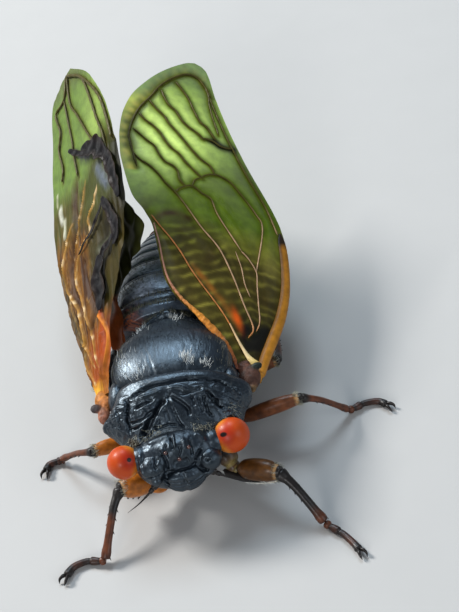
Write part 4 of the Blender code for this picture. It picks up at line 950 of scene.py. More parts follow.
for name, (root, hip, knee, ankle, foot, thick, thigh, thigh_colour, dark_end) in LEGS.items():
    root, hip, knee, ankle = (np.array(point, float) for point in (root, hip, knee, ankle))
    hip_end = np.array(HIP_END.get(name, hip))
    hip_line = (root, (root + hip_end) / 2 + (0, 0, -0.12), hip_end)
    leg_piece("hip_" + name, [tapered(hip_line, 50, 40, HIP_SIZE, HIP_TINT, thick, 1.0, 0.92)],
              "coxa_" + name)

    fore = name.startswith("fore")
    reach = knee - hip
    ahead = reach / np.linalg.norm(reach)
    bend = np.array((0, 0, 0.18 if fore else 0.1))
    if fore:
        thigh_size = ((0, 0.12), (0.03, 0.42), (0.1, 0.44), (0.14, 0.38), (0.28, 0.74), (0.5, thigh),
                      (0.72, thigh * 0.92), (0.88, 0.58), (0.94, 0.52), (0.98, 0.46), (1, 0.15))
    else:
        thigh_size = ((0, 0.1), (0.03, 0.36), (0.1, 0.38), (0.13, 0.33), (0.3, thigh * 0.92), (0.6, thigh),
                      (0.85, thigh * 0.8), (0.95, 0.4), (0.98, 0.34), (1, 0.1))
    thigh_tint = ((0, LEG_DARK), (0.05, LEG_TAN), (0.11, LEG_TAN), (0.13, LEG_DARK), (0.19, thigh_colour),
                  (0.84, thigh_colour), (0.875, LEG_PALE), (0.905, LEG_PALE), (0.925, LEG_DARK), (1, LEG_DARK))
    thigh_parts = [tapered((hip, hip + reach * 0.3 + bend, hip + reach * 0.7 + bend, knee), 110, 56,
                           thigh_size, thigh_tint, 1.0, 0.86)]
    if fore:
        for place, length in ((0.45, 0.55), (0.6, 0.45), (0.74, 0.35)):
            start = hip + reach * place + np.array((0, 0, -thigh * 0.7))
            thigh_parts.append(spine(start, ahead * 0.7 + np.array((0, 0, -1)), length, 0.16, LEG_DARK))
    if name == "fore_l":
        # A pale keel along the thigh's lower edge, painted silver-white as a highlight, and a black tube that
        # fills the shaded gap above it
        keel_share = np.linspace(0, 1, 80)
        keel_path = curve_through(KEEL_LINE, 80)
        keel_size = 0.062 * np.sin(0.2 + 2.74 * keel_share) ** 0.4 * (1 + 0.5 * grain(keel_path, 0.3, 37))
        # The black tube joins keel and thigh and stands for the shade in the gap between them
        under_shade_path = 0.7 * keel_path + 0.3 * (hip + reach * (keel_share[:, None] * 1.1 - 0.12))
        under_shade_size = profile(keel_share, (0, 0.12), (0.1, 0.3), (0.3, 0.3), (0.6, 0.2), (1, 0.08))
        joint_line = (hip_end + (-0.25, 0.2, 0.25), (hip_end + hip) / 2, hip + (0.35, -0.15, 0.05))
        thigh_parts += [swollen(joint_line, 0.5, 0.5, 2.75, 0.5, JOINT_TINT),
                        tinted_tube(keel_path, keel_size, keel_size, 10, tint_along(keel_share, *KEEL_HIGHLIGHT_TINT)),
                        tinted_tube(under_shade_path, under_shade_size, under_shade_size, 24, np.repeat([LEG_DARK], 80, 0))]
    if name == "fore_r":
        thigh_parts.append(swollen(COLLAR_LINE, 0.46, 0.5, 2.85, 0.6, ((0, thigh_colour), (1, thigh_colour))))
    leg_piece("thigh_" + name, thigh_parts, "femur_" + name)

    drop = ankle - knee
    shin_aim = drop / np.linalg.norm(drop)
    shin_path = curve_through((knee - ahead * 0.22, knee + drop * 0.22 + (0, 0, 0.12),
                               (knee + ankle) / 2 + np.array((0, 0, 0.22)), ankle + (0, 0, 0.05)), 120)
    stout = 1.12 if name == "fore_l" else 1.0
    share = np.linspace(0, 1, 120)
    shin_size = TIBIA_RADIUS * thick * stout * profile(share, *SHIN_SIZE)
    shin_tint = tint_along(share, (0, LEG_DARK), (dark_end, LEG_DARK), (dark_end + 0.15, LEG_RED),
                           (0.93, LEG_RED), (1, LEG_DARK_BROWN))
    shin_parts = [tinted_tube(shin_path, shin_size, shin_size * 0.92, 36, shin_tint)]
    shin_across = np.cross(shin_aim, (0, 0, 1))
    shin_across /= np.linalg.norm(shin_across)
    for row, spread in enumerate((-1, -0.35, 0.45, 1)):
        for place in (0.42, 0.58, 0.74, 0.97):
            spot = int(119 * place) - 3 * row
            out = shin_across * spread + np.cross(shin_across, shin_aim) * (0.25 - 0.4 * abs(spread))
            begin = shin_path[spot] + out / np.linalg.norm(out) * shin_size[spot] * 0.6
            shin_parts.append(spine(begin, out + shin_aim * 1.3, 0.34, 0.055, LEG_DARK, 0.02))
    leg_piece("shin_" + name, shin_parts, "tibia_" + name)

    low = FLOOR + TARSUS_RADIUS * 0.8
    first = ankle + (0, 0, -0.06)
    heel = 0.6 * first + 0.4 * np.array((*foot[1], 0))
    foot_path = curve_through([first, (*heel[:2], low + 0.1)] + [(*place, low + 0.03) for place in foot[1:]],
                              110)
    toe = foot_path[-1]
    foot_aim = (toe - foot_path[-12]) / np.linalg.norm(toe - foot_path[-12])
    foot_across = np.cross(foot_aim, (0, 0, 1))
    share = np.linspace(0, 1, 110)
    foot_size = TARSUS_RADIUS * profile(share, *FOOT_SIZE)
    foot_parts = [tinted_tube(foot_path, foot_size, foot_size * 0.95, 32, tint_along(share, *FOOT_TINT))]
    for side in (-1, 1):
        claw_line = [toe + foot_aim * out + foot_across * side * aside + (0, 0, up)
                     for out, aside, up in CLAW_LINE]
        foot_parts.append(tapered(claw_line, 24, 14, CLAW_SIZE, ((0, LEG_DARK), (1, LEG_DARK)), 1.0, 0.8))
    leg_piece("foot_" + name, foot_parts, "tarsus_" + name, floor=True)

# Wing hinges
# Small amber and brown plates of hard skin wedged between the shields and the wings' roots.
# A soft fold of skin joins them, and they turn against each other as a wing opens.
HINGE_BROWN = (0.060, 0.026, 0.017)
HINGE_GREY = (0.03, 0.032, 0.038)
# Each plate: its middle, its radii and its colour
HINGES = {
    "l": (((5.36, -5.50, 0.55), (0.78, 1.0, 0.38), HINGE_BROWN),
          ((5.06, -4.68, 0.67), (0.55, 0.6, 0.3), (0.085, 0.030, 0.016)),
          ((5.96, -4.86, 0.93), (0.38, 0.26, 0.22), (0.006, 0.016, 0.012)),
          ((5.39, -6.43, 0.37), (0.34, 0.3, 0.26), (0.20, 0.12, 0.05))),
    "r": (((-5.55, -6.42, 0.59), (0.44, 0.34, 0.3), HINGE_GREY),
          ((-5.1, -5.6, 0.45), (0.60, 0.78, 0.34), (0.42, 0.15, 0.02)),
          ((-4.93, -6.02, 0.48), (0.58, 0.66, 0.36), (0.30, 0.10, 0.025)),
          ((-5.06, -6.95, 0.40), (0.46, 0.72, 0.3), (0.26, 0.10, 0.06))),
}
hinge_finish = painted_finish("hinge_skin", (0.42, 0.62), 8000.0, specular=0.22)
for letter, plates in HINGES.items():
    hinge_parts = [egg_mesh("plate", centre, radii, 0.3, 40, 28) for centre, radii, colour in plates]
    hinge_mesh = grow_together("hinge_plates_" + letter, hinge_parts, 0.04, 9)
    hinge_points = mesh_points(hinge_mesh)
    raise_skin(hinge_mesh, 0.03 * grain(hinge_points, 0.4, 19) - 0.04 * np.abs(grain(hinge_points, 0.25, 20)))
    nearness = np.stack([1 / (0.01 + np.linalg.norm((hinge_points - np.array(centre)) / radii, axis=1) ** 6)
                         for centre, radii, colour in plates])
    nearness /= nearness.sum(0)
    colours = np.array([colour for centre, radii, colour in plates])
    hinge_tint = (nearness[..., None] * colours[:, None]).sum(0)
    paint(hinge_mesh, hinge_tint * (1 + 0.6 * grain(hinge_points, 0.3, 21))[:, None])
    put_piece(hinge_mesh, hinge_finish, ("wing_base_" + letter,))

# Left forewing
# The spread wing: a thin sheet, olive-yellow to green, stretched on raised veins. The veins are
# orange at the root and dark towards the tip; a stout golden rail stiffens the front edge.
# A painted glow of light shines through its outer cells.
LEFT_BASE = np.array((5.2, -4.7, 0.6))
LEFT_LIFT = math.radians(15.0)
LEFT_ROLL = math.radians(25.0)
FORE_FRONT_EDGE = (
    (-0.9, -1.1), (0.5, -1.8), (2.4, -2.8), (5.4, -4.1), (8.6, -4.8), (11.9, -4.9), (14.5, -4.2),
    (17.4, -2.9), (20.7, -1.7), (24.1, -0.8), (27.2, -0.3), (28.1, 0.1), (28.5, 0.75),
)
FORE_HIND_EDGE = (
    (-0.9, -1.0), (0.0, 0.8), (0.8, 1.0), (2.1, 1.6), (3.4, 2.6), (5.3, 4.3), (6.3, 4.9), (7.4, 5.3),
    (10.2, 5.6), (12.0, 5.8), (13.2, 6.3), (14.8, 7.1), (18.0, 7.6), (19.7, 7.6), (21.0, 7.5), (22.8, 7.1),
    (24.5, 6.3), (25.8, 5.2), (26.8, 4.1), (27.7, 2.8), (28.35, 1.5), (28.5, 0.75),
)
VEIN_AMBIENT = ((17.3, 6.5), (19.7, 6.8), (20.7, 6.8), (22.2, 6.3), (23.3, 5.7), (24.4, 4.8), (25.5, 4.0),
                (26.4, 3.0), (27.1, 1.7), (26.9, 0.7), (25.9, 0.1), (25.0, -0.2))
# Each vein: how wide it is, and its line as (along the wing, across it)
FORE_VEINS = (
    (0.085, ((18.7, 6.7), (18.0, 6.2), (17.4, 5.5), (16.6, 4.9), (15.9, 4.5), (15.0, 3.8), (13.8, 3.1),
            (11.9, 2.1), (10.1, 0.9), (7.8, 0.1), (5.4, -0.5), (3.5, -1.0), (2.6, -0.5))),
    (0.075, ((21.1, 6.5), (20.5, 6.0), (19.9, 5.5), (19.4, 5.0), (18.6, 4.7), (17.9, 4.3), (17.5, 3.7),
             (17.0, 3.4), (16.2, 3.3), (15.6, 2.9))),
    (0.085, ((22.7, 5.9), (22.0, 5.5), (21.4, 4.9), (20.7, 4.4), (20.0, 4.1), (19.3, 3.7), (18.7, 3.1),
             (18.0, 2.7), (17.1, 2.0), (16.5, 1.45))),
    (0.085, ((24.1, 5.0), (23.2, 4.5), (22.4, 3.9), (21.7, 3.6), (20.8, 3.0), (20.0, 2.5), (19.2, 2.0),
             (18.4, 1.4), (17.8, 0.7), (17.0, 0.4))),
    (0.095, ((25.2, 3.9), (23.8, 3.5), (23.0, 2.9), (22.1, 2.5), (21.5, 2.0), (21.0, 1.4), (20.4, 0.9))),
    (0.095, ((26.2, 2.6), (24.7, 1.8), (23.3, 1.4), (22.2, 1.0), (21.7, 0.5), (20.5, -0.1))),
    (0.075, ((25.7, -0.1), (24.4, 0.0), (23.0, -0.1), (21.8, -0.3), (21.1, -0.4))),
    (0.09, ((20.5, 1.1), (20.5, 0.6), (20.35, 0.1), (20.0, -0.4), (19.9, -1.0), (20.0, -1.5))),
    (0.075, ((15.0, 3.8), (15.5, 3.2), (15.7, 2.4), (15.1, 1.7), (14.6, 1.0), (13.1, 0.6), (10.1, -0.9))),
    (0.075, ((16.7, 1.5), (17.0, 0.8), (17.0, 0.1), (16.6, -0.7), (15.9, -1.3), (13.9, -2.6), (12.5, -3.0),
            (8.4, -1.9))),
    (0.075, ((15.7, 2.4), (16.3, 2.1), (16.6, 1.5))),
    (0.08, ((0.9, -0.6), (1.7, 0.1), (3.3, 0.7), (4.6, 1.3), (5.8, 2.0), (6.8, 2.6), (8.1, 3.3), (9.5, 3.9),
            (10.8, 4.6), (11.9, 5.3), (12.8, 5.8))),
    (0.07, ((3.2, -1.2), (4.1, -1.6), (5.6, -1.7), (7.1, -1.8), (8.4, -1.9), (9.5, -1.4), (10.1, -0.9))),
    (0.06, ((10.0, -0.4), (8.6, -0.7), (7.2, -0.8), (6.1, -1.1))),
    (0.09, ((12.3, -4.3), (14.7, -3.6), (17.6, -2.3), (20.8, -1.15), (24.0, -0.3), (25.9, 0.1))),
)
VEIN_HIND_RIM = ((-0.1, 0.7), (0.8, 0.9), (2.1, 1.5), (3.4, 2.5), (4.4, 3.3), (5.3, 4.1), (6.3, 4.75),
                 (7.4, 5.15), (8.8, 5.35), (10.2, 5.45), (12.0, 5.7))
FLARE_VEIN = ((0.25, -0.95), (0.7, -0.5), (1.3, -0.1), (2.4, 0.4), (3.6, 0.85))
RAIL_LINE = ((-1.0, -0.95), (-0.3, -1.1), (1.0, -1.6), (2.6, -2.4), (4.6, -3.35), (6.7, -4.05), (8.6, -4.4),
             (10.6, -4.55), (12.4, -4.5))
RAIL_END = (0.02, 0.012, 0.006)
VEIN_ORANGE = (0.46, 0.15, 0.03)
VEIN_DARK = (0.066, 0.055, 0.010)
CELL_TIP = (0.21, 0.33, 0.03)
# Painted light: a pale yellow-green glow where light shines through the cells
CELL_LIT_GLOW = (0.74, 0.96, 0.22)
CELL_MIDDLE = (0.088, 0.138, 0.006)
CELL_ROOT = (0.26, 0.22, 0.035)
CELL_DARK = (0.024, 0.015, 0.003)
CELL_MARGIN = (0.36, 0.42, 0.05)
CELL_TOP = (0.11, 0.19, 0.035)
MARGIN_TOP = (0.12, 0.21, 0.06)
BEAD_YELLOW = (0.66, 0.56, 0.10)
BEAD_GAP = (0.10, 0.10, 0.015)
CLOUD_BROWN = (0.075, 0.055, 0.010)
RUNG_START = ((12.4, 5.6), (12.9, 4.8), (13.0, 4.0), (12.6, 3.0))
FOLD_LINE = ((8.4, 3.1), (6.7, 2.0), (5.1, 0.95), (3.9, 0.35))
STIGMA_LINE = ((20.4, 0.1), (20.0, -0.5), (19.9, -1.0), (20.0, -1.5))


def wing_axes(side, lift, roll):
    """The directions along a wing, across it towards its hind edge, and out of its upper face."""
    length = np.array((0, math.cos(lift), math.sin(lift)))
    inward = np.array((-side, 0, 0))
    up = np.cross(length, inward) * side
    across = inward * math.cos(roll) + up * math.sin(roll)
    return length, across, np.cross(length, across) * side


def on_left_wing(s, t, height):
    """Places on the domed left wing, s along it, t across it and some height off its middle."""
    length, across, out = wing_axes(1, LEFT_LIFT, LEFT_ROLL)
    s, t, height = (np.asarray(value, float)[..., None] for value in (s, t, height))
    dome = 0.018 * (t - 1.5) ** 2 + 0.0012 * (s - 8) ** 2
    return LEFT_BASE + length * s + across * t + out * (height - dome)


def edge_rows(front, hind, columns, rows):
    """Rows of (s, t) places that fill a wing between its front edge and its hind edge."""
    front = curve_through(front, 2000)
    hind = curve_through(hind, 2000)
    turn = np.linspace(0, np.pi, columns)
    s = front[0, 0] + (front[-1, 0] - front[0, 0]) * (0.5 - 0.5 * np.cos(turn)) ** 0.9
    near = np.interp(s, front[:, 0], front[:, 1])
    far = np.interp(s, np.maximum.accumulate(hind[:, 0]), hind[:, 1])
    share = np.linspace(0, 1, rows)
    return np.repeat(s[:, None], rows, 1), near[:, None] + (far - near)[:, None] * share[None]


def sheet_mesh(name, grid):
    """An open sheet over a grid of points."""
    columns, rows, _ = grid.shape
    column, row = np.meshgrid(np.arange(columns - 1), np.arange(rows - 1), indexing="ij")
    corner = column * rows + row
    quads = np.stack([corner, corner + rows, corner + rows + 1, corner + 1], -1).reshape(-1, 4)
    mesh = bpy.data.meshes.new(name)
    mesh.from_pydata(grid.reshape(-1, 3).tolist(), [], quads.tolist())
    return mesh


def membrane_finish(name, rough, ripple, specular):
    """Wing film: a thin satin sheet whose colour and clearness are stored on the mesh."""
    material, tree, shader, place = new_finish(name)
    stored_tint(tree, shader, cloudy(tree, place, 1500.0, 4.0), 0.8, 1.2)
    clear = wire(tree, "Attribute", {}, attribute_name="cover").outputs["Fac"]
    tree.links.new(clear, shader.inputs["Alpha"])
    add_relief(tree, shader, cloudy(tree, place, 2600.0, 3.0), 0.5, ripple)
    set_sockets(shader, Roughness=rough, Specular_IOR_Level=specular)
    return material


def put_film(name, grid, tint, cover, material, node):
    """Show a grid of points as a film, with its colours and how much it covers what is behind."""
    mesh = sheet_mesh(name, grid)
    paint(mesh, tint.reshape(-1, 3))
    attribute = mesh.attributes.new("cover", "FLOAT", "POINT")
    attribute.data.foreach_set("value", np.clip(cover, 0, 1).ravel())
    put_piece(mesh, material, (node,))


def sheet_grain(s, t, size, seed, stretch=1.0):
    """Smooth random bumps over the places of a sheet, drawn out along it by the stretch."""
    return grain(np.stack([s * stretch, t, 0 * s], -1).reshape(-1, 3), size, seed).reshape(s.shape)


def lines_away(s, t, lines, thick=0.0):
    """How far each place is from the nearest (width, line), less its width where thick is 1."""
    return np.min([np.maximum(line_distance(s, t, line)[0] - width * thick, 0) for width, line in lines],
                  axis=0)


wing_s, wing_t = edge_rows(FORE_FRONT_EDGE, FORE_HIND_EDGE, 300, 100)
stout_lines = ((0.15, VEIN_AMBIENT), (0.2, VEIN_HIND_RIM), (0.35, RAIL_LINE))
vein_near = lines_away(wing_s, wing_t, FORE_VEINS + stout_lines, 1.0)
wing_noise = sheet_grain(wing_s, wing_t, 1.6, 22)
cloud_noise = sheet_grain(wing_s, wing_t, 0.8, 30)
ambient_away, ambient_place = line_distance(wing_s, wing_t, VEIN_AMBIENT)
ambient_loop = curve_through(VEIN_AMBIENT + ((24.0, -0.3), (20.8, -1.15)), 200)
inside_tip = wing_t < np.interp(wing_s, ambient_loop[:100, 0], ambient_loop[:100, 1])
inside_tip &= wing_s < np.interp(wing_t, (-0.3, 0.1, 0.7, 1.7, 3.0, 4.0), (25.2, 25.9, 26.9, 27.1, 26.4, 25.5))
outside = (wing_s > 17.0) & ~inside_tip & (wing_t > -0.1)
# Where the painted glow of light through the cells lies, strongest between the veins
lit_glow_place = wing_s - 20.2 + 0.25 * (wing_t - 3)
lit_glow = bell(lit_glow_place, np.where(lit_glow_place < 0, 2.7, 3.8)) * bell(wing_t - 4.0, 3.5)
beads = 0.5 + 0.5 * np.cos(2 * np.pi * ambient_place * 19)
bead_share = outside * np.clip((25.5 - wing_s) / 2.5, 0.15, 1)
cloud_share = np.clip(0.3 + 0.9 * wing_noise, 0, 1) * np.clip((13 + 0.6 * (wing_t - 2) - wing_s) / 3, 0, 1)
rung_place = wing_s + 0.3 * np.abs(wing_t + 1.0) + 0.45 * wing_noise + 0.22 * cloud_noise
rung = bell(rung_place / 0.93 % 1.0 - 0.5, 0.17) * np.clip(0.62 + 0.9 * cloud_noise, 0, 1)
rung_share = np.clip(0.95 - rung - 0.35 * np.clip(wing_noise, 0, 1), 0, 1)
rung_share *= np.clip((12.4 + 0.6 * np.clip(wing_t, -3, 3) - wing_s + 1.3 * wing_noise) / 2.6, 0, 1)
rung_start = bell(line_distance(wing_s, wing_t, RUNG_START)[0], 0.34)
root_dark = bell(wing_s - 2.6, 1.5) * np.clip(0.6 - wing_t, 0, 1)
fold_share = bell(line_distance(wing_s, wing_t, FOLD_LINE)[0], 0.24)
under_glow = bell(wing_s - 4.1, 0.75) * bell(wing_t - 0.2 - 0.2 * (wing_s - 4.1), 0.26)
dark_rim = 0.08 + 0.07 * np.clip((wing_s - 15) / 3, 0, 1) + 0.24 * bell(ambient_away, 0.8) * (wing_s > 19)
stigma = bell(line_distance(wing_s, wing_t, STIGMA_LINE)[0], 0.5)
wing_tint = layered(
    CELL_ROOT,
    (CELL_MIDDLE, (wing_s - 8.5 + wing_noise) / 4.5),
    (CELL_TIP, (wing_s - 15.8 + 0.4 * (wing_t - 2) + wing_noise) / 3.0),
    (CELL_LIT_GLOW, lit_glow * (0.25 + 0.75 * np.clip(vein_near / 0.4, 0, 1))),
    (CELL_TOP, np.clip((wing_s - 24.5) / 2.0, 0, 1) * 0.75),
    (CELL_MARGIN, outside),
    (MARGIN_TOP, outside * np.clip((wing_s - 24.0) / 1.5, 0, 0.85)),
    (BEAD_YELLOW, bead_share * beads * bell(ambient_away - 0.45, 0.35) * 0.8),
    (BEAD_GAP, bead_share * (1 - beads) ** 2 * bell(ambient_away - 0.3, 0.3) * 0.6),
    (CLOUD_BROWN, cloud_share),
    ((0.045, 0.020, 0.004), rung_start * np.clip(0.85 + 0.6 * cloud_noise, 0, 1)),
    (CELL_DARK, 0.88 * rung_share),
    ((0.008, 0.007, 0.005), 1.4 * root_dark),
    ((0.26, 0.095, 0.012), 0.85 * fold_share * (0.7 + 0.8 * cloud_noise)),
    ((0.60, 0.085, 0.006), under_glow * (1.2 + 0.5 * cloud_noise)),
    ((0.085, 0.08, 0.008), np.exp(-vein_near / dark_rim) * np.clip((wing_s - 9) / 6, 0.2, 0.8)),
    ((0.012, 0.012, 0.008), stigma * (1.0 + 0.4 * cloud_noise)),
)
wing_cover = 0.98 - 0.05 * np.clip((wing_s - 13) / 5, 0, 1) + 0.1 * np.exp(-vein_near / 0.2)
bulge = 0.09 * (1 - bell(vein_near, 0.45)) + 0.03 * wing_noise
film_finish = membrane_finish("wing_film", 0.38, 0.00002, 0.2)
put_film("forewing_film_l", on_left_wing(wing_s, wing_t, bulge - 0.08), wing_tint, wing_cover, film_finish,
         "forewing_l")


def vein_tubes(name, place_on, lines, tint_at, rise=0.0):
    """Raised veins along (width, line) entries on a wing, coloured by their place on it."""
    grids = []
    tints = []
    for width, line in lines:
        count = max(12, int(10 * np.linalg.norm(np.diff(line, axis=0), axis=1).sum()))
        flat = curve_through(line, count)
        place = place_on(flat[:, 0], flat[:, 1], np.full(count, rise))
        above = place_on(flat[:, 0], flat[:, 1], np.full(count, rise + 1.0)) - place
        ends = np.sqrt(np.clip(np.minimum(np.arange(count), np.arange(count)[::-1]) / 3, 0.05, 1))
        size = width * ends * (1 + 0.12 * np.sin(np.arange(count) * 0.7 + width * 90))
        size *= np.interp(flat[:, 0], (4, 10, 14, 19), (1.05, 1.1, 1.0, 1.3))
        grid = tube_rings(place, size, size * 0.85, 12, above.mean(0))
        grids.append(grid)
        tint = tint_at(flat[:, 0], flat[:, 1])
        tints.append(np.concatenate([np.repeat(tint, 12, 0), tint[:1], tint[-1:]]))
    mesh = skin_mesh(name, *grids)
    paint(mesh, np.concatenate(tints))
    return mesh


def fore_vein_tint(s, t):
    """Golden veins at the root, the hindmost orange and the others pink-brown, all dark olive at the tip."""
    pink_share = np.clip((s - 2.5) / 2, 0, 1) * np.where(t > 0.35 * s - 0.9, 0.2, 1.0)
    return layered(VEIN_ORANGE, ((0.62, 0.30, 0.05), (3.0 - s) / 1.5), ((0.42, 0.26, 0.15), pink_share),
                   (VEIN_DARK, (s - 11) / 4))


vein_lines = [(width * 0.6, line) for width, line in FORE_VEINS] + [(0.065, VEIN_AMBIENT)]
vein_mesh = vein_tubes("forewing_veins_l", on_left_wing, vein_lines, fore_vein_tint)
vein_finish = painted_finish("wing_vein", (0.35, 0.5), 7000.0, 0.00001, 0.18, mottle=0.25)
put_piece(vein_mesh, vein_finish)


def rim_tube(name, line, widths, heights, tints, rise=0.06, count=240, shade=np.ones(28)):
    """A stout rail on the left wing, wide, high and coloured as given along it, shaded round it."""
    flat = curve_through(line, count)
    place = on_left_wing(flat[:, 0], flat[:, 1], np.full(count, rise))
    above = (on_left_wing(flat[:, 0], flat[:, 1], np.full(count, rise + 1.0)) - place).mean(0)
    share = np.linspace(0, 1, count)
    mesh = skin_mesh(name, tube_rings(place, profile(share, *widths), profile(share, *heights), 28, above))
    tints = tint_along(share, *tints)
    around = np.repeat(tints, 28, 0) * np.tile(shade, count)[:, None]
    paint(mesh, np.concatenate([around, tints[:1], tints[-1:]]))
    return mesh


# Painted shade round the rail: darkest on its inner side, darker on its outer edge, lightest between
rail_around = np.cos(np.linspace(0, 2 * np.pi, 28, endpoint=False))
rail_painted_shade = (0.4 + 0.75 * np.clip((rail_around + 0.75) / 0.6, 0, 1)
              - 0.35 * np.clip((rail_around - 0.7) / 0.3, 0, 1))
rail_mesh = rim_tube("forewing_rail_l", RAIL_LINE,
                     ((0, 0.06), (0.08, 0.14), (0.14, 0.34), (0.38, 0.42), (0.7, 0.36), (0.93, 0.3), (1, 0.1)),
                     ((0, 0.06), (0.12, 0.16), (0.18, 0.26), (0.6, 0.22), (1, 0.08)),
                     ((0, (0.50, 0.22, 0.03)), (0.2, (0.42, 0.17, 0.018)), (0.5, (0.34, 0.14, 0.012)),
                      (0.9, (0.28, 0.115, 0.012)), (0.94, RAIL_END), (1, RAIL_END)), 0.05, shade=rail_painted_shade)
put_piece(rail_mesh, vein_finish)
rim_mesh = rim_tube("forewing_rim_l", VEIN_HIND_RIM,
                    ((0, 0.08), (0.1, 0.17), (0.25, 0.27), (0.38, 0.22), (0.48, 0.13), (0.7, 0.08), (1, 0.05)),
                    ((0, 0.08), (0.1, 0.14), (0.25, 0.2), (0.48, 0.12), (0.7, 0.08), (1, 0.05)),
                    ((0, (0.16, 0.05, 0.03)), (0.16, (0.36, 0.11, 0.025)), (0.38, (0.62, 0.24, 0.035)),
                     (0.5, (0.5, 0.2, 0.06)), (0.62, (0.38, 0.17, 0.10)), (1, (0.30, 0.16, 0.12))))
rim_points = mesh_points(rim_mesh)
raise_skin(rim_mesh, 0.055 * grain(rim_points, 0.2, 34) * (rim_points[:, 1] < 1.2))
put_piece(rim_mesh, vein_finish)
# The flare vein: golden yellow, made paler near its root by a painted highlight
flare_mesh = rim_tube("forewing_flare_l", FLARE_VEIN,
                      ((0, 0.25), (0.08, 0.36), (0.3, 0.24), (0.6, 0.11), (1, 0.05)),
                      ((0, 0.12), (0.1, 0.2), (0.5, 0.1), (1, 0.05)),
                      ((0, (0.62, 0.34, 0.04)), (0.2, (0.90, 0.66, 0.24)), (0.45, (0.80, 0.62, 0.34)),
                       (1, (0.50, 0.30, 0.16))), count=90)
put_piece(flare_mesh, vein_finish)

# Left hindwing
# A smaller, thinner wing folded under the forewing, orange at its root, crossed by pleats.
# It is the same film on finer veins, and hangs from the forewing's rear edge.
HINDWING_DROP = 1.1
HIND_FRONT_EDGE = ((2.0, -1.2), (5.0, -2.8), (8.0, -3.0), (11.5, -2.6), (14.5, -1.4), (16.4, 0.4),
                   (16.8, 2.2))
HIND_HIND_EDGE = ((2.0, 0.1), (3.2, 1.4), (5.0, 2.9), (7.2, 3.9), (10.0, 4.5), (13.2, 4.6), (15.8, 3.8),
                  (16.8, 2.2))
HIND_VEINS = (
    (0.1, ((2.9, -1.5), (5.2, -2.2), (8.2, -2.4), (11.3, -2.0), (14.0, -0.9), (15.6, 0.8))),
    (0.09, ((3.0, -0.9), (6.0, -0.6), (9.0, 0.2), (12.0, 1.6), (14.6, 2.6))),
    (0.09, ((3.4, 0.0), (6.0, 1.2), (9.0, 2.4), (12.2, 3.6))),
)
hind_s, hind_t = edge_rows(HIND_FRONT_EDGE, HIND_HIND_EDGE, 190, 70)
hind_near = lines_away(hind_s, hind_t, HIND_VEINS)
pleat = np.cos(2 * np.pi * (hind_s + 0.4 * hind_t) / 0.92)
hind_tint = layered((0.07, 0.05, 0.014), ((0.1, 0.13, 0.03), (hind_s - 8) / 5),
                    ((0.62, 0.09, 0.01), bell(hind_s - 4.1, 1.3) * bell(hind_t - 0.4, 0.6)),
                    ((0.03, 0.022, 0.01), 0.7 * np.clip(pleat, 0, 1)))
hind_cover = 0.8 - 0.45 * np.clip((hind_s - 9) / 5, 0, 1) + 0.15 * np.exp(-hind_near / 0.2)
put_film("hindwing_film_l", on_left_wing(hind_s, hind_t, 0.08 * pleat - HINDWING_DROP), hind_tint, hind_cover,
         film_finish, "hindwing_l")
hind_vein_mesh = vein_tubes("hindwing_veins_l", on_left_wing, HIND_VEINS, fore_vein_tint, -HINDWING_DROP)
put_piece(hind_vein_mesh, vein_finish)

# Right forewing, shrivelled
# This wing never spread after the moult. It is a narrow crumpled strip: a golden, glossy outer
# fold, an orange lobe at its root, black curled rolls in the middle, and a flat green tip.
# Light on it is painted in too: highlights on the fold crests, a white glint, a pale slit,
# a grey-blue sheen and a glow through the cells near the tip.
RIGHT_BASE = np.array((-5.2, -4.7, 0.6))
RIGHT_LIFT = math.radians(18.0)
RIGHT_ROLL = math.radians(50.0)
CRUMPLED_OUTER = ((-0.6, -0.5), (-0.1, -0.7), (2.7, -1.9), (5.7, -3.0), (9.3, -4.1), (13.4, -4.9), (16.6, -4.9),
                  (19.7, -4.7), (23.7, -4.3), (26.9, -4.0), (28.4, -2.4), (29.0, -0.9))
CRUMPLED_INNER = ((-0.6, 0.6), (-0.3, 1.0), (2.5, 1.7), (4.5, 2.0), (6.7, 3.0), (9.9, 4.6), (13.0, 5.2),
                  (16.1, 5.0), (19.5, 4.7), (22.7, 3.9), (25.2, 2.8), (27.2, 1.5), (29.0, -0.7))
GOLD = (0.155, 0.060, 0.006)
# Pale gold on the fold crests: the film's gold, lightened as a painted highlight on the crests
CREST_GOLD_AND_HIGHLIGHT = (0.46, 0.24, 0.05)
BROWN = (0.045, 0.016, 0.004)
OLIVE = (0.030, 0.027, 0.005)
ROLL_BLACK = (0.003, 0.0026, 0.0036)
FLAME = (0.30, 0.046, 0.004)
TIP_GREEN = (0.105, 0.175, 0.022)
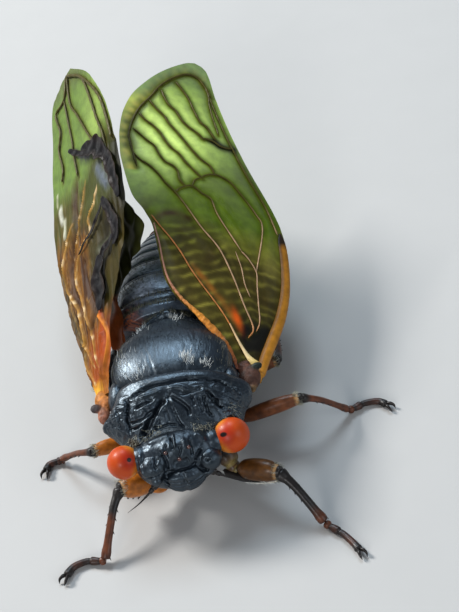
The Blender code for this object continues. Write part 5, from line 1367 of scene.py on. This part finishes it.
# Each fold: how high it stands, how wide it is, its colour and how strongly that shows, its line
FOLDS = (
    (-0.30, 0.40, BROWN, 0.85, ((18.4, -1.2), (16.6, -1.7), (14.5, -1.7), (12.9, -2.4), (11.4, -2.9),
                                (9.6, -2.8), (6.9, -1.8))),
    (0.22, 0.09, CREST_GOLD_AND_HIGHLIGHT, 0.9, ((15.0, -2.2), (13.9, -3.1), (12.0, -3.9), (10.4, -3.9), (8.3, -2.7),
                                  (6.5, -2.0), (4.8, -1.6), (3.9, -1.9), (2.5, -1.5), (0.7, -0.7))),
    (0.20, 0.08, CREST_GOLD_AND_HIGHLIGHT, 0.8, ((16.2, 1.8), (15.0, 1.2), (14.1, 0.3), (12.9, 0.3), (12.4, -0.9),
                                  (11.3, -1.8), (9.8, -2.2), (7.8, -1.5), (6.0, -1.0), (4.1, -0.3),
                                  (2.8, -0.2), (1.4, 0.1))),
    (-0.24, 0.3, BROWN, 0.9, ((11.4, -0.8), (9.8, -0.9), (8.0, -0.4), (6.4, -0.1), (4.8, -0.8))),
    (0.2, 0.08, CREST_GOLD_AND_HIGHLIGHT, 0.6, ((9.4, -3.5), (7.4, -2.9), (5.2, -2.4), (3.6, -1.3), (2.0, -0.6))),
    (0.2, 0.08, CREST_GOLD_AND_HIGHLIGHT, 0.55, ((17.6, 0.2), (16.0, -0.4), (14.8, -0.9), (13.4, -1.6), (12.2, -2.6))),
    # Three painted highlights: a broken white glint on the outer fold
    (0.12, 0.24, (0.60, 0.60, 0.50), 0.85, ((17.4, -3.75), (16.7, -3.8), (15.9, -3.6))),
    (0.1, 0.16, (0.55, 0.55, 0.42), 0.75, ((16.0, -3.2), (15.2, -3.3), (14.5, -3.5))),
    (0.1, 0.08, (0.50, 0.48, 0.34), 0.7, ((18.9, -4.1), (18.2, -4.2), (17.6, -4.2))),
    (-0.22, 0.35, OLIVE, 0.7, ((12.5, -4.5), (9.0, -3.7), (6.0, -2.7), (3.0, -1.8))),
    (0.3, 0.45, FLAME, 1.0, ((0.6, 0.4), (2.5, 0.9), (4.4, 0.9))),
    (0.1, 0.26, FLAME, 1.0, ((3.6, 0.9), (5.0, 0.9), (6.6, 0.7))),
    (0.2, 0.14, (0.60, 0.20, 0.02), 0.8, ((0.9, 0.9), (2.5, 1.4), (3.8, 1.6), (4.9, 1.1), (5.9, 0.4))),
    (-0.40, 0.5, (0.03, 0.024, 0.036), 0.95, ((8.8, 1.0), (7.8, 1.0), (6.9, 1.0))),
    (-0.2, 0.8, (0.016, 0.014, 0.008), 0.9, ((13.6, 3.6), (12.2, 2.6), (11.0, 2.2), (9.0, 1.2), (7.0, 1.0))),
    # A thin pale slit: a painted highlight
    (-0.2, 0.25, (0.15, 0.16, 0.11), 0.8, ((11.9, 3.2), (11.3, 2.8), (11.1, 1.9), (10.9, 1.2))),
    (0.16, 0.5, ROLL_BLACK, 1.0, ((20.4, -0.2), (19.4, 0.9), (19.3, 2.2), (18.7, 3.2), (17.4, 3.9),
                                  (15.6, 4.5))),
    (0.08, 0.22, ROLL_BLACK, 1.0, ((21.4, -1.4), (20.2, -0.1), (19.4, 0.9))),
    # A grey-blue patch: a painted sheen on the wrinkled film
    (0.15, 0.42, (0.10, 0.12, 0.15), 0.9, ((17.9, 1.9), (17.0, 2.4), (16.2, 2.8), (15.3, 3.3))),
    (-0.2, 0.7, (0.008, 0.008, 0.004), 0.95, ((19.0, 4.6), (17.5, 4.8), (15.7, 4.9), (13.9, 5.0), (12.2, 4.9))),
)
# Each roll: its half width and its line
ROLLS = (
    (0.20, ((14.4, 2.7), (13.6, 2.0), (13.0, 1.3), (12.4, 0.0), (11.8, -1.3))),
    (0.50, ((14.6, 2.6), (13.4, 3.2), (12.2, 3.8), (10.9, 4.1), (10.0, 3.6))),
    (0.30, ((10.9, 3.9), (10.5, 3.0), (10.1, 2.1), (9.2, 1.4))),
    (0.72, ((10.2, 1.6), (9.0, 1.3), (8.2, 1.15), (7.2, 1.2), (5.9, 1.0))),
    (0.30, ((21.4, -1.6), (20.8, -0.8), (20.0, 0.3), (19.5, 1.4))),
    (0.80, ((20.3, 0.2), (19.8, 1.4), (19.2, 2.4), (18.3, 3.3), (17.2, 3.9))),
    (0.55, ((18.8, 3.4), (17.5, 3.9), (16.2, 4.2), (14.6, 4.7), (13.4, 4.8))),
)
CRUMPLED_VEINS = (
    (0.07, ((28.6, -1.3), (26.6, -1.9), (26.0, -3.3), (24.0, -2.8), (22.4, -3.2), (20.5, -2.8), (19.4, -3.1))),
    (0.06, ((26.6, -1.9), (23.7, -1.4), (22.0, -1.1), (21.0, -1.1), (19.8, -0.9), (18.5, -0.7))),
    (0.07, ((28.4, -1.2), (25.7, -1.0), (24.0, -0.1), (22.0, 0.9), (20.0, 2.0))),
    (0.08, ((27.3, 0.6), (26.3, 1.3), (23.9, 2.1), (21.8, 2.7), (20.1, 3.3), (18.6, 3.6), (16.6, 4.3))),
    (0.10, ((28.6, -1.3), (27.2, 0.7), (25.2, 2.3), (23.3, 3.4), (20.9, 4.1), (18.9, 4.5))),
)


def on_right_wing(s, t, height):
    """Places on the plane of the right wing, raised by some height."""
    length, across, out = wing_axes(-1, RIGHT_LIFT, RIGHT_ROLL)
    s, t, height = (np.asarray(value, float)[..., None] for value in (s, t, height))
    return RIGHT_BASE + length * s + across * t + out * height


crumple_s, crumple_t = edge_rows(CRUMPLED_OUTER, CRUMPLED_INNER, 330, 120)
crease_noise = sheet_grain(crumple_s, crumple_t, 1.1, 23, 0.45)
fine_noise = sheet_grain(crumple_s, crumple_t, 0.35, 24, 0.45)
long_noise = sheet_grain(crumple_s, crumple_t, 0.3, 27, 0.1125)
crumple_near = lines_away(crumple_s, crumple_t, CRUMPLED_VEINS)
tip_share = np.clip((crumple_s - 16.8 - 0.9 * np.clip(crumple_t, 0, 3) + 0.6 * crease_noise) / 2.0, 0, 1)
wrinkle = bell(long_noise, 0.07) * np.clip((15.0 - crumple_s) / 2, 0, 1) * np.clip(1.6 - crumple_t, 0, 1)
crumple_height = (0.10 * crease_noise + 0.02 * fine_noise + 0.09 * long_noise) * (1 - 0.6 * tip_share)
crumple_height += 0.05 * wrinkle
crumple_tint = layered(
    GOLD,
    (BROWN, 0.5 + 0.8 * crease_noise - 1.4 * long_noise),
    ((0.42, 0.22, 0.045), wrinkle * (0.35 + 0.6 * fine_noise)),
    (OLIVE, np.clip((crumple_t + 0.6) / 0.8, 0, 0.9) * np.clip(crumple_s - 5.5, 0, 1)),
    ((0.05, 0.062, 0.010), np.clip((crumple_s - 13) / 3, 0, 0.75)),
    (FLAME, np.clip((5.5 - crumple_s) / 3, 0, 0.75) * np.clip(crumple_t + 1.6, 0, 1)),
    (TIP_GREEN, tip_share),
    # the painted glow of light through the cells, near the tip
    (CELL_LIT_GLOW, 0.2 * tip_share * bell(crumple_t - 2.4, 1.5) * bell(crumple_s - 22, 4)),
    ((0.09, 0.11, 0.03), 0.8 * np.clip((crumple_s - 26.4) / 1.6, 0, 1)),
)
for height, width, colour, strength, line in FOLDS:
    away, place = line_distance(crumple_s, crumple_t, line)
    ends = np.clip(np.minimum(place, 1 - place) * 10 + 0.2, 0, 1)
    edge = np.clip(1 - np.abs(away) / (1.6 * width), 0, 1)
    crumple_height += height * ends * edge ** 1.4
    shows = strength * np.clip(1.5 * edge * (0.8 + 0.5 * fine_noise), 0, 1) * ends ** 0.4
    crumple_tint = blend(crumple_tint, colour, shows)
    # Painted highlights in broken spots along the pale crests
    if colour == CREST_GOLD_AND_HIGHLIGHT:
        crumple_tint = blend(crumple_tint, (0.80, 0.62, 0.36), shows * np.clip(3.0 * fine_noise - 0.4, 0, 0.9))
rust_share = np.clip((crumple_t + 0.1 + 0.5 * long_noise) / 0.5, 0, 0.9)
crumple_tint = layered(
    crumple_tint,
    ((0.66, 0.33, 0.03), np.clip((1.0 - crumple_s) / 0.8, 0, 1)),
    ((0.25, 0.07, 0.010), np.clip((2.6 - crumple_s) / 1.2, 0, 1) * rust_share),
    (VEIN_DARK, 0.8 * bell(crumple_near, 0.22)),
)
crumple_cover = 0.99 - 0.045 * tip_share + 0.1 * np.exp(-crumple_near / 0.2)
crumple_finish = membrane_finish("crumpled_film", 0.5, 0.00003, 0.1)
put_film("forewing_crumple_r", on_right_wing(crumple_s, crumple_t, crumple_height), crumple_tint,
         crumple_cover, crumple_finish, "forewing_r")
crumple_vein_mesh = vein_tubes("forewing_veins_r", on_right_wing, CRUMPLED_VEINS,
                               lambda s, t: np.repeat([VEIN_DARK], len(s), 0), 0.12)
put_piece(crumple_vein_mesh, vein_finish)
roll_grids = []
roll_edges = []
for width, line in ROLLS:
    flat = curve_through(line, 110)
    roll_path = on_right_wing(flat[:, 0], flat[:, 1], np.full(110, 0.2))
    lift = (on_right_wing(flat[:, 0], flat[:, 1], np.full(110, 1.2)) - roll_path).mean(0)
    taper = np.sin(np.linspace(0.1, 3.04, 110)) ** 0.5
    ribbon = tube_rings(roll_path, width * taper, np.full(110, 0.04), 26, lift)
    off = ribbon - roll_path[:, None]
    ragged = grain(ribbon.reshape(-1, 3), 0.9, 31).reshape(off.shape[:2])
    edge = np.clip(np.linalg.norm(off, axis=2) / width, 0, 1)
    folds = grain(ribbon.reshape(-1, 3), 0.7, 28).reshape(off.shape[:2])
    ribbon = roll_path[:, None] + off * (1 + 0.6 * ragged)[..., None]
    ribbon = ribbon + lift * (0.25 * width * edge ** 2 + 0.14 * folds * taper[:, None])[..., None]
    roll_grids.append(ribbon)
    roll_edges.append(np.concatenate([edge.ravel(), (0, 0)]))
roll_mesh = skin_mesh("forewing_rolls_r", *roll_grids)
roll_points = mesh_points(roll_mesh)
roll_tint = blend(ROLL_BLACK, (0.03, 0.015, 0.008), 0.7 * np.concatenate(roll_edges) ** 3)
paint(roll_mesh, blend(roll_tint, (0.010, 0.008, 0.012), 0.9 * grain(roll_points, 0.5, 29)))
roll_finish = painted_finish("rolled_film", (0.3, 0.5), 5000.0, 0.00003, 0.12)
put_piece(roll_mesh, roll_finish)

# Right hindwing, shrivelled
# A dark olive pleated strip under the crumpled forewing, beside the abdomen.
# It is wing film that dried before it could spread, and sticks to the wing above it.
HIND_R_DROP = 1.9
HIND_R_FRONT = ((3.0, -0.9), (6.0, -1.3), (8.5, -1.6), (11.2, -1.8), (13.4, -1.2), (15.9, -0.3), (17.7, 0.2),
                (19.4, 0.6))
HIND_R_HIND = ((3.0, 1.0), (5.0, 0.6), (7.4, 0.6), (8.7, 1.2), (9.5, 2.6), (10.2, 4.0), (11.0, 4.7),
               (12.6, 4.1), (15.0, 2.7), (17.4, 1.9), (19.4, 1.5))
strip_s, strip_t = edge_rows(HIND_R_FRONT, HIND_R_HIND, 150, 70)
strip_noise = sheet_grain(strip_s, strip_t, 0.9, 25, 0.5)
strip_tint = layered((0.05, 0.052, 0.010), ((0.02, 0.02, 0.006), 0.5 + strip_noise),
                     ((0.008, 0.010, 0.006), np.clip((strip_s - 14.5) / 2, 0, 0.9)),
                     ((0.36, 0.085, 0.02), np.clip((7.6 - strip_s + 1.5 * strip_noise) / 1.4, 0, 0.9)))
put_film("hindwing_crumple_r", on_right_wing(strip_s, strip_t, 0.4 * strip_noise - HIND_R_DROP), strip_tint,
         np.ones(strip_s.shape), crumple_finish, "hindwing_r")

# Hair
# Short pale bristles, solid and tapered: a fringe before the shield and behind each eye, bands on
# the abdomen's first rings, small white clusters on the back, and a ring at each knee.
HAIR_PATCH = 0.003
# Each cluster: its middle, how far it spreads and how many hairs it has
HAIR_CLUSTERS = (
    ((1.16, -5.0, 2.84), 0.30, 45), ((1.45, -5.35, 2.75), 0.22, 22), ((2.32, -5.4, 2.54), 0.18, 16),
    ((2.63, -5.6, 2.38), 0.18, 14), ((0.61, -0.4, 2.45), 0.30, 30), ((-2.08, -1.0, 2.18), 0.35, 30),
    ((-2.2, -5.6, 2.3), 0.5, 30), ((-3.1, -4.3, 2.4), 0.6, 26),
)
draw = np.random.default_rng(7)


def hair_piece(name, roots, outward, lie, loose, lengths, radius, material):
    """Many tapered bristles that leave the skin and bend over to the way they loosely lie."""
    count = len(roots)
    lie = np.asarray(lie) + loose * draw.normal(size=(count, 3))
    lengths = draw.uniform(*lengths, count)
    share = np.array((0.0, 0.4, 0.75))
    aim = outward + lie
    aim /= np.linalg.norm(aim, axis=1)[:, None]
    side = np.cross(aim, draw.normal(size=(count, 3)))
    side /= np.linalg.norm(side, axis=1)[:, None]
    turned = np.cross(aim, side)
    reach = lengths[:, None, None]
    spine_line = roots[:, None] - outward[:, None] * 0.04 + aim[:, None] * reach * share[None, :, None]
    spine_line = spine_line + lie[:, None] * reach * 0.35 * (share ** 2)[None, :, None]
    turns = np.arange(3) * 2 * np.pi / 3
    ring = side[:, None] * np.cos(turns)[None, :, None] + turned[:, None] * np.sin(turns)[None, :, None]
    size = radius * (1 - 0.75 * share)
    body = spine_line[:, :, None] + ring[:, None] * size[None, :, None, None]
    tip = roots + aim * lengths[:, None] + lie * lengths[:, None] * 0.35
    points = np.concatenate([body.reshape(count, 9, 3), tip[:, None]], 1)
    faces = [(2, 1, 0)]
    for row in range(2):
        for turn in range(3):
            after = (turn + 1) % 3
            faces.append((row * 3 + turn, row * 3 + after, row * 3 + 3 + after, row * 3 + 3 + turn))
    faces += [(6, 7, 9), (7, 8, 9), (8, 6, 9)]
    mesh = bpy.data.meshes.new(name)
    mesh.from_pydata(points.reshape(-1, 3).tolist(), [],
                     [[corner + 10 * hair for corner in face] for hair in range(count) for face in faces])
    around = np.arctan2(roots[:, 2] + 0.5, roots[:, 0]) / (2 * np.pi) + 0.5
    down = (roots[:, 1] + 18.0) / 34.0
    place = np.stack([around, down], 1)[:, None] * (1 - 2 * HAIR_PATCH)
    corner = np.array([(turn / 2, row / 3) for row in range(3) for turn in range(3)] + [(0.5, 1.0)])
    spots = (place + HAIR_PATCH * corner[None]).reshape(-1, 2)
    loops = np.empty(len(mesh.loops), int)
    mesh.loops.foreach_get("vertex_index", loops)
    mesh.uv_layers.new(name="OFBake").data.foreach_set("uv", spots[loops].ravel())
    put_piece(mesh, material)


def skin_of(piece_name):
    """A finished piece's points in millimetres and its outward directions."""
    mesh = bpy.data.objects[piece_name].data
    return mesh_points(mesh) / MM + MODEL_ORIGIN, mesh_points(mesh, "normal")


def scatter(piece_name, weight_at, count):
    """Places and directions drawn from a piece's skin, more often where the weight is high."""
    points, normals = skin_of(piece_name)
    weights = np.maximum(weight_at(points, normals), 0)
    chosen = draw.choice(len(points), count, p=weights / weights.sum())
    return points[chosen] + draw.normal(size=(count, 3)) * 0.03, normals[chosen]


def pale_finish(name, light, dark):
    """Fine bristles, paler in some places than in others, with a soft gloss."""
    material, tree, shader, place = new_finish(name)
    tone = colour_ramp(tree, cloudy(tree, place, 2500.0, 3.0), (0.35, dark), (0.65, light))
    tree.links.new(tone, shader.inputs["Base Color"])
    set_sockets(shader, Roughness=0.45, Specular_IOR_Level=0.4)
    return material


hair_finish = pale_finish("pale_bristles", (0.58, 0.57, 0.46), (0.20, 0.19, 0.13))
olive_finish = pale_finish("olive_bristles", (0.22, 0.22, 0.15), (0.06, 0.06, 0.04))
white_finish = pale_finish("white_bristles", (0.85, 0.88, 0.86), (0.45, 0.47, 0.46))
fringe_root, fringe_out = scatter("pronotum_shell", lambda p, n: bell(p[:, 1] + 9.85, 0.22) * (n[:, 2] > 0)
                                  * (np.abs(p[:, 0]) > 1.0), 240)
corner_root, corner_out = scatter("pronotum_shell", lambda p, n: bell(p[:, 0] - 4.0, 0.7)
                                  * bell(p[:, 1] + 9.0, 0.4) * (n[:, 2] > 0.1), 70)
hair_piece("hair_fringe", np.concatenate([fringe_root, corner_root]), np.concatenate([fringe_out, corner_out]),
           (0.0, -0.5, 0.1), 0.35, (0.2, 0.5), 0.015, hair_finish)

roots, outward = scatter("abdomen_shell", lambda p, n: (p[:, 1] < 8) * (n[:, 2] > -0.1)
                         * (bell(ring_share(p[:, 1]) - 0.62, 0.22) * (0.15 + bell(p[:, 1] - 1.4, 1.7))), 2600)
hair_piece("hair_rings", roots, outward * 0.35, (0.0, 1.0, -0.05), 0.25, (0.16, 0.42), 0.014, olive_finish)

roots, outward = scatter("mesonotum_shell", lambda p, n: bell(np.abs(p[:, 0]) - 3.6, 0.5) * (n[:, 2] > 0.1)
                         + 1.5 * bell(p[:, 1] - 0.2, 0.5) * (n[:, 2] > 0.1), 600)
hair_piece("hair_back", roots, outward * 0.6, (0.0, 1.0, 0.0), 0.4, (0.12, 0.35), 0.012, olive_finish)

back_points, back_normals = skin_of("mesonotum_shell")
picked = []
for spot, spread, count in HAIR_CLUSTERS:
    chance = bell(np.linalg.norm(back_points - spot, axis=1), spread)
    picked.append(draw.choice(len(back_points), count, p=chance / chance.sum()))
picked = np.concatenate(picked)
hair_piece("hair_clusters", back_points[picked], back_normals[picked], (0.1, 1.0, 0.2), 0.5, (0.2, 0.45),
           0.022, white_finish)

roots, outward = scatter("thigh_fore_l", lambda p, n: bell(n[:, 2] + 0.75, 0.3) * bell(n[:, 1] + 0.6, 0.45)
                         * (p[:, 0] > 4.0), 260)
hair_piece("hair_thigh_l", roots, outward * 0.35, (0.75, -0.4, 0.1), 0.15, (0.15, 0.32), 0.016, white_finish)

for name in LEGS:
    hip, knee = (np.array(point, float) for point in LEGS[name][1:3])
    down_leg = (knee - hip) / np.linalg.norm(knee - hip)
    ring_middle = hip + (knee - hip) * 0.89
    roots, outward = scatter("thigh_" + name, lambda p, n: bell((p - ring_middle) @ down_leg, 0.12), 110)
    hair_piece("hair_knee_" + name, roots, outward * 0.4, down_leg, 0.2, (0.15, 0.35), 0.018, hair_finish)
